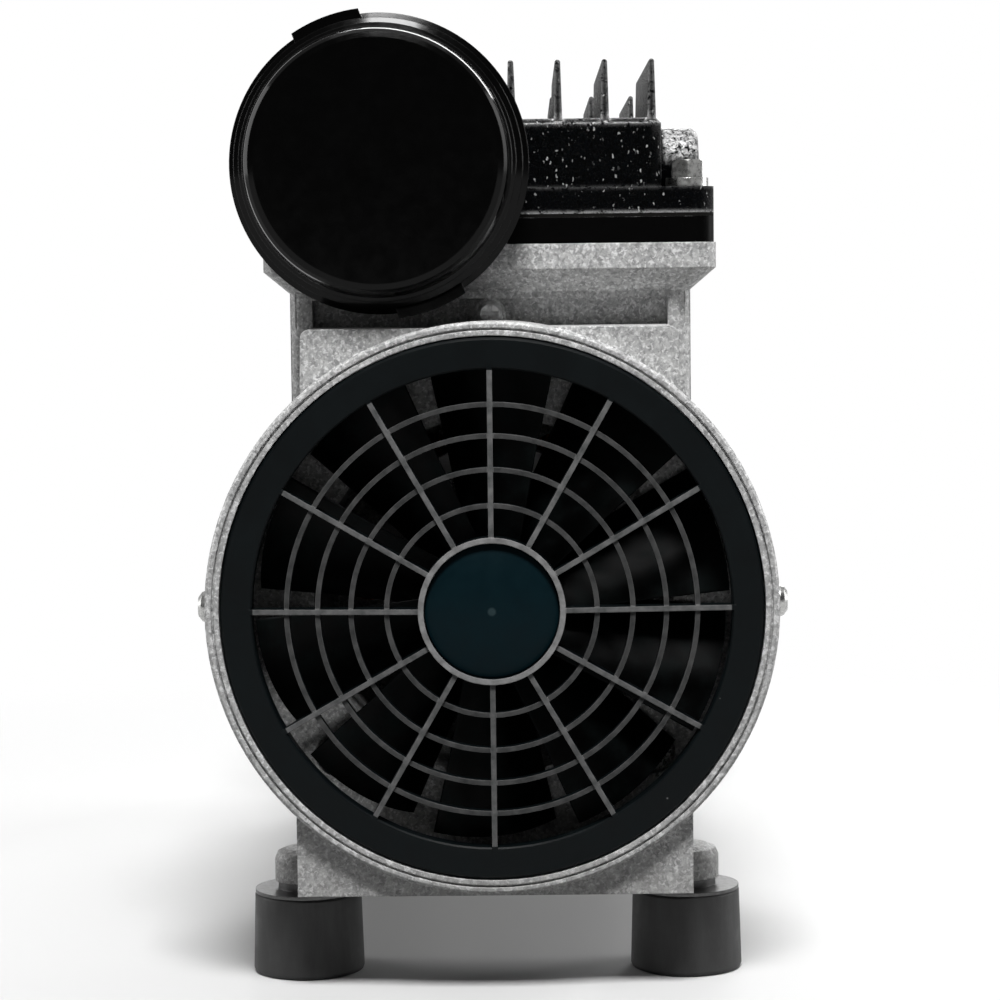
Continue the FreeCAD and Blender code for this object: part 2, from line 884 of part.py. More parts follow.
def neck_screw():
    """Pan head with a cross recess."""
    seat = neck_front
    head = revolve_y(
        (
            (0, seat),
            (neck_screw_head_radius, seat),
            (neck_screw_head_radius, seat + neck_screw_head * 0.45),
            (neck_screw_head_radius * 0.72, seat + neck_screw_head),
            (0, seat + neck_screw_head),
        ),
        0, neck_screw_height,
    )
    shank = rod_y(
        neck_screw_radius, seat - neck_screw_length + 0.5, seat + 0.5, 0, neck_screw_height
    )
    screw = joined([head, shank])
    for half_x, half_z in ((1.9, 0.45), (0.45, 1.9)):
        screw = screw.cut(
            block(
                -half_x, half_x, seat + neck_screw_head - 1.1, seat + neck_screw_head + 1,
                neck_screw_height - half_z, neck_screw_height + half_z,
            )
        )
    return screw


def pan_head(seat):
    """Rounded head of a cover screw, lying along X."""
    radius = cover_screw_head_radius
    height = cover_screw_head
    profile = (
        (0, 0),
        (radius, 0),
        (radius, height * 0.35),
        (radius * 0.9, height * 0.7),
        (radius * 0.62, height),
        (0, height),
    )
    head = revolve_z(profile)
    head.rotate(FreeCAD.Vector(0, 0, 0), FreeCAD.Vector(0, 1, 0), 90)
    head.translate(FreeCAD.Vector(seat, cover_screw_out, shaft_height))
    return head


def cover_screw():
    """Pan-head screw through the ring into the cover's skirt, right-hand side."""
    seat = ring_radius
    depth = ring_wall + cover_gap + cover_skirt_wall
    shank = rod_x(cover_screw_radius, seat - depth, seat + 0.5, cover_screw_out, shaft_height)
    screw = joined([shank, pan_head(seat)])
    slot = block(
        seat + cover_screw_head - 1.0, seat + cover_screw_head + 1,
        cover_screw_out - 0.5, cover_screw_out + 0.5,
        shaft_height - 2.4, shaft_height + 2.4,
    )
    return screw.cut(slot)


# Feet

def foot_rubber():
    """Tapered rubber foot with a rounded lower edge."""
    edge = 1.0
    profile = (
        (0, 0),
        (foot_bottom_radius - edge, 0),
        (foot_bottom_radius - edge * 0.3, edge * 0.3),
        (foot_bottom_radius, edge),
        (foot_top_radius, foot_height - edge / 2),
        (foot_top_radius - edge / 2, foot_height),
        (0, foot_height),
    )
    rubber = revolve_z(profile, foot_x, foot_out)
    return rubber.cut(rod_z(insert_radius, -1, insert_length, foot_x, foot_out))


def foot_stud():
    """Steel disc bonded to the rubber, with its shoulder and threaded stud."""
    disc = rod_z(foot_disc_radius, foot_height, disc_top, foot_x, foot_out)
    shoulder = rod_z(foot_shoulder_radius, disc_top - 0.5, lug_bottom, foot_x, foot_out)
    stud = rod_z(
        foot_stud_radius, disc_top, lug_bottom + foot_stud_length - 0.4, foot_x, foot_out
    )
    return joined([disc, shoulder, stud])


def foot_insert():
    return tube_z(insert_radius, insert_bore, 0.4, insert_length, foot_x, foot_out)


# Crank and piston. Offsets along z point away from the shaft axis, up or down.

def eccentric(side):
    """Clamped on the shaft: collar, counterweight and offset journal."""
    collar = rod_y(journal_collar_radius, counterweight_start, counterweight_end + 0.6)
    offset = side * throw / 2
    journal = rod_y(
        journal_radius, counterweight_end, crank_out + rod_width / 2 + 0.4,
        0, shaft_height + offset,
    )
    sweep = math.radians(counterweight_angle)
    start = -side * math.pi / 2 - sweep / 2
    points = []
    for share in (0.0, 0.5, 1.0):
        angle = start + sweep * share
        points.append(
            FreeCAD.Vector(
                counterweight_radius * math.cos(angle), counterweight_start,
                shaft_height + counterweight_radius * math.sin(angle),
            )
        )
    middle = FreeCAD.Vector(0, counterweight_start, shaft_height)
    outline = Part.Wire(
        [
            Part.makeLine(middle, points[0]),
            Part.Arc(*points).toShape(),
            Part.makeLine(points[2], middle),
        ]
    )
    weight = Part.Face(outline).extrude(FreeCAD.Vector(0, counterweight_width, 0))
    body = joined([collar, journal, weight])
    bore = rod_y(shaft_end_radius + fit_gap, counterweight_start - 1, crank_out + rod_width)
    screw_hole = set_screw_rod(side, set_screw_radius + fit_gap, 1.0)
    return body.cut([bore, screw_hole])


def set_screw_rod(side, radius, extra):
    """Radial pin in the eccentric's collar, on the side away from the counterweight."""
    y = counterweight_start + counterweight_width / 2
    start = shaft_height + side * (shaft_end_radius + fit_gap)
    length = journal_collar_radius - shaft_end_radius - fit_gap - set_screw_sink + extra
    upright = Part.makeCylinder(
        radius, length, FreeCAD.Vector(0, y, start), FreeCAD.Vector(0, 0, side)
    )
    return turned(upright, set_screw_angle)


def crank_bush(side):
    """Ring with its hole off centre by half the throw."""
    start = crank_out - big_end_width / 2
    end = crank_out + big_end_width / 2
    outer = rod_y(bush_outer, start, end, 0, shaft_height + side * throw)
    hole = rod_y(
        journal_radius + running_gap, start - 1, end + 1, 0, shaft_height + side * throw / 2
    )
    return outer.cut(hole)


def big_end_bearing(side):
    z = shaft_height + side * throw
    start = crank_out - big_end_width / 2
    end = crank_out + big_end_width / 2
    inner = bush_outer + running_gap
    groove_in = inner + 2.0
    groove_out = big_end_outer - 2.2
    groove = 0.5
    profile = (
        (inner, start),
        (groove_in, start),
        (groove_in, start + groove),
        (groove_out, start + groove),
        (groove_out, start),
        (big_end_outer, start),
        (big_end_outer, end),
        (groove_out, end),
        (groove_out, end - groove),
        (groove_in, end - groove),
        (groove_in, end),
        (inner, end),
    )
    return revolve_y(profile, 0, z)


def connecting_rod(side):
    """Big eye, I-section shank and the piston plate in one piece."""
    centre = shaft_height + side * throw
    plate_top_height = centre + rod_length
    plate_low = plate_top_height - piston_thickness
    start = crank_out - rod_width / 2
    end = crank_out + rod_width / 2
    eye = rod_y(rod_eye_radius, start, end, 0, centre)
    foot = centre + rod_eye_radius - 4
    shank = polygon_prism(
        (
            (-rod_shank_width / 2, start, foot),
            (rod_shank_width / 2, start, foot),
            (rod_shank_top_width / 2, start, plate_low + 1),
            (-rod_shank_top_width / 2, start, plate_low + 1),
        ),
        (0, rod_width, 0),
    )
    flute = (rod_width - rod_web) / 2
    rib = 2.6
    flutes = []
    for y in (start - 1, end - flute):
        flutes.append(
            polygon_prism(
                (
                    (-rod_shank_width / 2 + rib, y, foot + 5),
                    (rod_shank_width / 2 - rib, y, foot + 5),
                    (rod_shank_top_width / 2 - rib, y, plate_low - 3),
                    (-rod_shank_top_width / 2 + rib, y, plate_low - 3),
                ),
                (0, flute + 1, 0),
            )
        )
    piston = rod_z(piston_radius, plate_low, plate_top_height, 0, crank_out)
    boss = rod_z(
        piston_boss_radius, plate_low - piston_boss_depth, plate_low + 1, 0, crank_out
    )
    body = joined([eye, shank, piston, boss])
    bore = rod_y(big_end_outer + fit_gap, start - 1, end + 1, 0, centre)
    screw = rod_z(
        retainer_screw_radius + fit_gap, plate_low - piston_boss_depth,
        plate_top_height + 1, 0, crank_out,
    )
    return body.cut(flutes + [bore, screw])


def cup_seal(side):
    """Flat ring under the retainer, turned up into a lip against the bore."""
    base = shaft_height + side * throw + rod_length
    outer = cylinder_bore - running_gap
    profile = (
        (cup_hole_radius, base),
        (outer - 1.2, base),
        (outer, base + 1.2),
        (outer, base + cup_lip_height),
        (outer - 0.5, base + cup_lip_height),
        (outer - cup_thickness, base + cup_thickness + 0.6),
        (outer - cup_thickness - 0.6, base + cup_thickness),
        (cup_hole_radius, base + cup_thickness),
    )
    return revolve_z(profile, 0, crank_out)


def cup_retainer(side):
    base = shaft_height + side * throw + rod_length
    low = base + cup_thickness
    high = low + retainer_thickness
    profile = (
        (retainer_screw_radius + screw_gap, base),
        (retainer_spigot, base),
        (retainer_spigot, low),
        (retainer_radius - 0.8, low),
        (retainer_radius, low + 0.8),
        (retainer_radius, high),
        (retainer_screw_head + screw_gap, high),
        (retainer_screw_radius + screw_gap, high - retainer_screw_cone),
    )
    return revolve_z(profile, 0, crank_out)


def retainer_screw(side):
    """Countersunk screw through the retainer into the piston."""
    base = shaft_height + side * throw + rod_length
    high = base + cup_thickness + retainer_thickness
    end = base - piston_thickness - piston_boss_depth + 0.5
    profile = (
        (0, end),
        (retainer_screw_radius, end),
        (retainer_screw_radius, high - retainer_screw_cone),
        (retainer_screw_head - 0.1, high - 0.1),
        (0, high - 0.1),
    )
    screw = revolve_z(profile, 0, crank_out)
    socket = hexagon_z(retainer_screw_socket, high - 1.8, high + 1, 0, crank_out)
    return screw.cut(socket)


# Cylinder, valve plate and head

def cylinder_sleeve():
    tube = rod_z(sleeve_outer, sleeve_bottom, deck_height, 0, crank_out)
    collar = rod_z(
        sleeve_flange_radius, deck_height - sleeve_flange_height, deck_height, 0, crank_out
    )
    bore = rod_z(cylinder_bore, sleeve_bottom - 1, deck_height + 1, 0, crank_out)
    groove = tube_z(
        sleeve_groove_outer, sleeve_groove_inner, deck_height - sleeve_groove_depth,
        deck_height + 1, 0, crank_out,
    )
    return joined([tube, collar]).cut([bore, groove])


def cylinder_seal():
    """O-ring in the groove on top of the sleeve."""
    soft = 0.4
    inner = sleeve_groove_inner
    outer = sleeve_groove_outer
    low = deck_height - sleeve_groove_depth
    profile = (
        (inner, low + soft),
        (inner + soft, low),
        (outer - soft, low),
        (outer, low + soft),
        (outer, deck_height - soft),
        (outer - soft, deck_height),
        (inner + soft, deck_height),
        (inner, deck_height - soft),
    )
    return revolve_z(profile, 0, crank_out)


def head_bolt_holes(bottom, top):
    holes = []
    for x in (-head_bolt_x, head_bolt_x):
        for side in (-head_bolt_out, head_bolt_out):
            holes.append(
                rod_z(head_bolt_radius + screw_gap, bottom, top, x, crank_out + side)
            )
    return holes


def valve_plate():
    plate = rounded_block(
        head_half_x, head_half_y, head_corner, deck_height, plate_upper_face, crank_out
    )
    cuts = head_bolt_holes(deck_height - 1, plate_upper_face + 1)
    for x in (-port_x, port_x):
        for step in (-1, 0, 1):
            cuts.append(
                rod_z(
                    port_radius, deck_height - 1, plate_upper_face + 1,
                    x, crank_out + step * port_pitch,
                )
            )
        cuts.append(
            rod_z(
                reed_screw_radius + fit_gap, deck_height - 1, plate_upper_face + 1,
                x, reed_screw_y(),
            )
        )
    return plate.cut(cuts)


def reed_screw_y():
    return crank_out - reed_length / 2 + reed_screw_head_radius + 0.4


def strip(x, bottom, top):
    """Flat strip with round ends along the shaft, over one row of ports."""
    half = reed_width / 2
    straight = reed_length / 2 - half
    middle = block(x - half, x + half, crank_out - straight, crank_out + straight, bottom, top)
    near = rod_z(half, bottom, top, x, crank_out - straight)
    far = rod_z(half, bottom, top, x, crank_out + straight)
    hole = rod_z(reed_screw_radius + fit_gap, bottom - 1, top + 1, x, reed_screw_y())
    return joined([middle, near, far]).cut(hole)


def intake_reed():
    return strip(-port_x, deck_height - reed_thickness, deck_height)


def exhaust_reed():
    return strip(port_x, plate_upper_face, plate_upper_face + reed_thickness)


def reed_stop():
    """Stiff strip over the exhaust reed, raised beyond the clamped end."""
    low = plate_upper_face + reed_thickness
    body = strip(port_x, low, low + 2 * reed_stop_thickness)
    lift = reed_stop_thickness
    bent = polygon_prism(
        (
            (port_x - reed_width, reed_screw_y() + 4, low - 1),
            (port_x - reed_width, crank_out + reed_length, low - 1),
            (port_x - reed_width, crank_out + reed_length, low + lift),
            (port_x - reed_width, reed_screw_y() + 10, low + lift),
            (port_x - reed_width, reed_screw_y() + 4, low),
        ),
        (2 * reed_width, 0, 0),
    )
    top = block(
        port_x - reed_width, port_x + reed_width,
        crank_out - reed_length, reed_screw_y() + 4,
        low + reed_stop_thickness, low + 3 * reed_stop_thickness,
    )
    return body.cut([bent, top])


def reed_screws():
    """One screw from below for the intake reed and one from above for the exhaust reed."""
    low = deck_height - reed_thickness
    intake = joined(
        [
            rod_z(reed_screw_head_radius, low - reed_screw_head, low, -port_x, reed_screw_y()),
            rod_z(reed_screw_radius, low - 0.2, plate_upper_face - 0.5, -port_x,
                  reed_screw_y()),
        ]
    )
    high = plate_upper_face + reed_thickness + reed_stop_thickness
    exhaust = joined(
        [
            rod_z(reed_screw_head_radius, high, high + 1.6, port_x, reed_screw_y()),
            rod_z(reed_screw_radius, deck_height + 0.5, high + 0.2, port_x, reed_screw_y()),
        ]
    )
    return [intake, exhaust]


def chamber_blocks(bottom, top):
    """Intake and exhaust chambers, one each side of the divider."""
    half_y = head_box_half_y - head_wall
    inner = head_divider / 2
    outer = head_box_half_x - head_wall
    right = block(inner, outer, crank_out - half_y, crank_out + half_y, bottom, top)
    return [right, sideways(right)]


def head_gasket():
    sheet = rounded_block(
        head_half_x, head_half_y, head_corner, plate_upper_face, head_bottom, crank_out
    )
    cuts = chamber_blocks(plate_upper_face - 1, head_bottom + 1)
    cuts += head_bolt_holes(plate_upper_face - 1, head_bottom + 1)
    return sheet.cut(cuts)


def fin(x):
    """Tapered fin with a rounded tip, along the shaft."""
    half_base = fin_base / 2
    half_tip = fin_tip / 2
    low = head_roof_height - 0.5
    high = head_roof_height + fin_height - half_tip
    start = inner_face + 0.4
    left = FreeCAD.Vector(x - half_tip, start, high)
    right = FreeCAD.Vector(x + half_tip, start, high)
    crown = FreeCAD.Vector(x, start, high + half_tip)
    foot_left = FreeCAD.Vector(x - half_base, start, low)
    foot_right = FreeCAD.Vector(x + half_base, start, low)
    outline = Part.Wire(
        [
            Part.makeLine(foot_left, left),
            Part.Arc(left, crown, right).toShape(),
            Part.makeLine(right, foot_right),
            Part.makeLine(foot_right, foot_left),
        ]
    )
    length = 2 * head_box_half_y - 0.8
    return Part.Face(outline).extrude(FreeCAD.Vector(0, length, 0))


def port_boss():
    """Round boss on the right side of the head, with a rounded rim."""
    z = port_boss_height
    end = head_box_half_x + port_boss_reach
    boss = rod_x(port_boss_radius, head_box_half_x - 4, end, crank_out, z)
    rim = [
        edge for edge in boss.Edges
        if abs(edge.BoundBox.XMin - end) < 0.01 and edge.BoundBox.XLength < 0.01
    ]
    boss = boss.makeFillet(port_boss_rounding, rim)
    web = block(
        head_box_half_x - 2, end - 2 * port_boss_rounding,
        crank_out - port_boss_radius * 0.7, crank_out + port_boss_radius * 0.7,
        head_bottom + 1, z,
    )
    return [boss, web]


def cylinder_head(filter_port, outlet):
    foot = rounded_block(
        head_half_x, head_half_y, head_corner,
        head_bottom, head_bottom + head_flange_height, crank_out,
    )
    box = rounded_block(
        head_box_half_x, head_box_half_y, head_box_corner, head_bottom + 1,
        head_roof_height, crank_out,
    )
    rim = [
        edge for edge in box.Edges
        if abs(edge.BoundBox.ZMin - head_roof_height) < 0.01
        and edge.BoundBox.ZLength < 0.01
    ]
    box = box.makeChamfer(head_edge, rim)
    fins = []
    for index in range(fin_count):
        fins.append(fin(fin_pitch * (index - (fin_count - 1) / 2)))
    body = joined([foot, box] + fins + port_boss())
    cuts = chamber_blocks(head_bottom - 1, head_roof_height - head_roof)
    cuts += head_bolt_holes(head_bottom - 1, head_bottom + head_flange_height + 1)
    for x in (-tube_x, tube_x):
        cuts.append(
            rod_y(tube_radius + fit_gap, inner_face - 1, inner_face + tube_seat, x, tube_height)
        )
        cuts.append(
            rod_y(
                tube_radius - tube_wall, inner_face, inner_face + head_wall + 1,
                x, tube_height,
            )
        )
        cuts.append(
            rod_y(
                tube_radius + seal_height, inner_face + seal_inset,
                inner_face + seal_inset + seal_width, x, tube_height,
            )
        )
    if filter_port:
        cuts.append(
            rod_y(
                filter_spigot_radius + fit_gap, outer_face - head_wall - 1, outer_face + 1,
                filter_x, filter_height,
            )
        )
    if outlet:
        end = head_box_half_x + port_boss_reach
        cuts.append(
            rod_x(outlet_radius, end - outlet_depth, end + 1, crank_out, port_boss_height)
        )
        cuts.append(
            rod_x(
                passage_radius, end - outlet_depth - passage_length, end,
                crank_out, port_boss_height,
            )
        )
    return body.cut(cuts)


def head_bolt():
    """Rear right inner corner: shank, and hexagon head on its washer."""
    seat = head_bottom + head_flange_height + head_washer_thickness
    x = head_bolt_x
    bolts = []
    for side in (-head_bolt_out, head_bolt_out):
        y = crank_out + side
        shank = rod_z(head_bolt_radius, deck_height - head_bolt_depth + 0.5, seat + 1, x, y)
        head = hexagon_z(head_bolt_flats, seat, seat + head_bolt_head, x, y)
        dome = rod_z(head_bolt_flats / math.sqrt(3) + 0.1, seat, seat + head_bolt_head, x, y)
        rim = [
            edge for edge in dome.Edges
            if abs(edge.BoundBox.ZMin - seat - head_bolt_head) < 0.01
            and edge.BoundBox.ZLength < 0.01
        ]
        dome = dome.makeChamfer(0.5, rim)
        bolts.append(joined([shank, head.common(dome)]))
    return bolts


def head_washer():
    low = head_bottom + head_flange_height
    washers = []
    for side in (-head_bolt_out, head_bolt_out):
        washers.append(
            tube_z(
                head_washer_radius, head_bolt_radius + screw_gap, low,
                low + head_washer_thickness, head_bolt_x, crank_out + side,
            )
        )
    return washers


def transfer_tube(x):
    reach = inner_face + tube_seat - 0.2
    return tube_y(tube_radius, tube_radius - tube_wall, -reach, reach, x, tube_height)


def tube_seal(x):
    """O-ring round the tube, in its groove in the head."""
    soft = 0.5
    inner = tube_radius
    outer = tube_radius + seal_height
    start = inner_face + seal_inset
    end = start + seal_width
    profile = (
        (inner, start + soft),
        (inner + soft, start),
        (outer - soft, start),
        (outer, start + soft),
        (outer, end - soft),
        (outer - soft, end),
        (inner + soft, end),
        (inner, end - soft),
    )
    return revolve_y(profile, x, tube_height)


# Intake filter, built pointing to the rear and mirrored to the front

def filter_base():
    back = filter_back
    split = filter_split
    shell = filter_shell
    collar = crank_out + head_half_y + 0.3
    profile = (
        (filter_spigot_radius - 1.6, outer_face - head_wall + 0.5),
        (filter_spigot_radius, outer_face - head_wall + 0.5),
        (filter_spigot_radius, collar),
        (filter_spigot_radius + filter_spigot_collar, collar),
        (filter_spigot_radius + filter_spigot_collar, back),
        (filter_base_radius - 1.5, back),
        (filter_base_radius, back + 1.5),
        (filter_base_radius, split),
        (filter_base_radius - 2 * shell, split),
        (filter_base_radius - 2 * shell, split + 3),
        (filter_base_radius - 3 * shell, split + 3),
        (filter_base_radius - 3 * shell, back + shell),
        (filter_spigot_radius - 1.6, back + shell),
    )
    return revolve_y(profile, filter_x, filter_height)


def filter_element():
    """Pleated element between the base and the cap."""
    return tube_y(
        element_outer, element_inner, filter_back + filter_shell,
        filter_front - filter_shell - 0.6, filter_x, filter_height,
    )


def filter_cap():
    """Round cap, stepped out towards its rim, with two snap tabs."""
    front = filter_front
    split = filter_split
    shell = filter_shell
    edge = filter_face_edge
    face = filter_face_radius
    rim_front = split + filter_rim_width
    step_two = rim_front + 4.6
    step_one = step_two + 4.0
    inside = filter_shoulder_two - shell
    outside = (
        (0, front),
        (face, front),
        (face + edge * 0.55, front - edge * 0.22),
        (face + edge * 0.9, front - edge * 0.62),
        (face + edge, front - edge),
        (filter_shoulder_one - 0.9, step_one + 0.6),
        (filter_shoulder_one, step_one),
        (filter_shoulder_one, step_two + 0.8),
        (filter_shoulder_two, step_two),
        (filter_shoulder_two, rim_front + 0.6),
        (filter_rim, rim_front),
        (filter_rim, split),
        (filter_base_radius - shell, split),
        (filter_base_radius - shell, rim_front),
        (inside - 1.6, step_two),
        (face - shell + 1, step_one),
        (face - shell, front - shell),
        (0, front - shell),
    )
    cap = revolve_y(outside, filter_x, filter_height)
    tabs = []
    half = filter_tab_width / 2
    for angle in (filter_tab_angle, filter_tab_angle + 180):
        reach = filter_rim + filter_tab_proud
        ring = tube_y(
            reach, filter_rim - 1, split + 0.5, rim_front + 1.5, filter_x, filter_height
        )
        keep = block(
            filter_x - half, filter_x + half, split, rim_front + 2,
            filter_height, filter_height + reach + 1,
        )
        tab = ring.common(keep)
        tab.rotate(
            FreeCAD.Vector(filter_x, 0, filter_height), FreeCAD.Vector(0, 1, 0), -angle
        )
        tabs.append(tab)
    return joined([cap] + tabs)


# Fan and fan cover

def blade_section(radius, chord, pitch, thickness):
    """Cambered section across the blade, at a radius straight above the axis."""
    turn = math.radians(pitch)
    along = FreeCAD.Vector(math.cos(turn), math.sin(turn), 0)
    across = FreeCAD.Vector(-math.sin(turn), math.cos(turn), 0)
    middle = FreeCAD.Vector(0, fan_back + fan_hub_length / 2, shaft_height + radius)
    nose = middle + along * (chord / 2)
    tail = middle - along * (chord / 2)
    crest = middle + across * (fan_blade_camber + thickness / 2)
    belly = middle + across * (fan_blade_camber - thickness / 2)
    return Part.Wire(
        [Part.Arc(nose, crest, tail).toShape(), Part.Arc(tail, belly, nose).toShape()]
    )


def fan_blade():
    sections = []
    steps = 4
    root = fan_hub_radius - 2
    for step in range(steps):
        share = step / (steps - 1)
        radius = root + share * (fan_tip_radius + 1 - root)
        chord = fan_root_chord + share * (fan_tip_chord - fan_root_chord)
        pitch = fan_root_pitch + share * (fan_tip_pitch - fan_root_pitch)
        sections.append(blade_section(radius, chord, pitch, fan_blade_thickness))
    return Part.makeLoft(sections, True, False)


def fan():
    end = fan_back + fan_hub_length
    hub = revolve_y(
        (
            (0, fan_back),
            (fan_hub_radius, fan_back),
            (fan_hub_radius, end - 3),
            (fan_hub_radius - 3, end),
            (0, end),
        )
    )
    blade = fan_blade().common(rod_y(fan_tip_radius, fan_back, end))
    body = joined([hub] + ring_of(blade, fan_blade_count))
    return body.cut(rod_y(shaft_end_radius + fit_gap, fan_back - 1, end + 1))


def fan_clip():
    """Retaining ring in the shaft's groove, open on one side."""
    start = fan_back + fan_hub_length + 0.05
    inner = shaft_end_radius - 0.75
    ring = tube_y(clip_radius, inner, start, start + clip_thickness)
    mouth = block(
        -3, 3, start - 1, start + clip_thickness + 1,
        shaft_height, shaft_height + clip_radius + 1,
    )
    return ring.cut(mouth)


def spoke():
    """One upright rib from the hub to the rim, thinner towards its front edge."""
    inner = cover_hub_radius - 0.6
    outer = cover_opening + 1
    hub_edge = cover_hub_front - 0.5
    rim_edge = cover_front
    return polygon_prism(
        (
            (-spoke_width / 2, hub_edge - spoke_depth - 1, shaft_height + inner),
            (-spoke_width / 2, hub_edge, shaft_height + inner),
            (-spoke_width / 2, rim_edge, shaft_height + outer),
            (-spoke_width / 2, rim_edge - cover_rim_thickness, shaft_height + outer),
            (-spoke_width / 2, rim_edge - spoke_depth, shaft_height + outer - 4),
        ),
        (spoke_width, 0, 0),
    )


def spoke_front(radius):
    """Front edge of the spokes at a radius."""
    inner = cover_hub_radius - 0.6
    outer = cover_opening + 1
    share = (radius - inner) / (outer - inner)
    hub_edge = cover_hub_front - 0.5
    return hub_edge + share * (cover_front - hub_edge)


def grille_ring(radius):
    front = spoke_front(radius) - grille_ring_set_back
    half = grille_ring_width / 2
    return tube_y(radius + half, radius - half, front - grille_ring_depth, front)


def fan_cover():
    shell = revolve_y(
        (
            (cover_outer - cover_skirt_wall, cover_skirt_back),
            (cover_outer, cover_skirt_back),
            (cover_outer, cover_front - 0.6),
            (cover_outer - 0.6, cover_front),
            (cover_opening + 0.4, cover_front),
            (cover_opening, cover_front - 0.4),
            (cover_opening, cover_front - cover_rim_thickness - 2),
            (cover_opening + 1.4, cover_front - cover_rim_thickness - 2),
            (cover_opening + 1.4, cover_front - cover_rim_thickness),
            (cover_outer - cover_skirt_wall, cover_front - cover_rim_thickness),
        )
    )
    hub = tube_y(
        cover_hub_radius, cover_hub_radius - cover_hub_wall,
        cover_hub_floor - cover_hub_floor_thickness, cover_hub_front,
    )
    floor = tube_y(
        cover_hub_radius - 0.4, cap_stem_radius + fit_gap,
        cover_hub_floor - cover_hub_floor_thickness, cover_hub_floor,
    )
    rings = [grille_ring(radius) for radius in grille_radii]
    body = joined([shell, hub, floor] + rings + ring_of(spoke(), spoke_count))
    pilot = rod_x(
        cover_screw_radius + fit_gap, -cover_outer - 1, cover_outer + 1,
        cover_screw_out, shaft_height,
    )
    return body.cut(pilot)


def hub_cap():
    """Domed cap in the middle of the cover, held by its stem."""
    base = cover_hub_floor
    crown = FreeCAD.Vector(0, cap_front, shaft_height)
    edge_front = FreeCAD.Vector(cap_radius, cap_edge_front, shaft_height)
    share = 0.5
    drop = (cap_front - cap_edge_front) * share * share
    between = FreeCAD.Vector(cap_radius * share, cap_front - drop, shaft_height)
    stem_end = base - cover_hub_floor_thickness - 0.6
    outline = Part.Wire(
        [
            Part.Arc(crown, between, edge_front).toShape(),
            Part.makeLine(edge_front, FreeCAD.Vector(cap_radius, base, shaft_height)),
            Part.makeLine(
                FreeCAD.Vector(cap_radius, base, shaft_height),
                FreeCAD.Vector(cap_stem_radius, base, shaft_height),
            ),
            Part.makeLine(
                FreeCAD.Vector(cap_stem_radius, base, shaft_height),
                FreeCAD.Vector(cap_stem_radius, stem_end, shaft_height),
            ),
            Part.makeLine(
                FreeCAD.Vector(cap_stem_radius, stem_end, shaft_height),
                FreeCAD.Vector(0, stem_end, shaft_height),
            ),
            Part.makeLine(FreeCAD.Vector(0, stem_end, shaft_height), crown),
        ]
    )
    return Part.Face(outline).revolve(
        FreeCAD.Vector(0, 0, shaft_height), FreeCAD.Vector(0, 1, 0), 360
    )


# Nodes

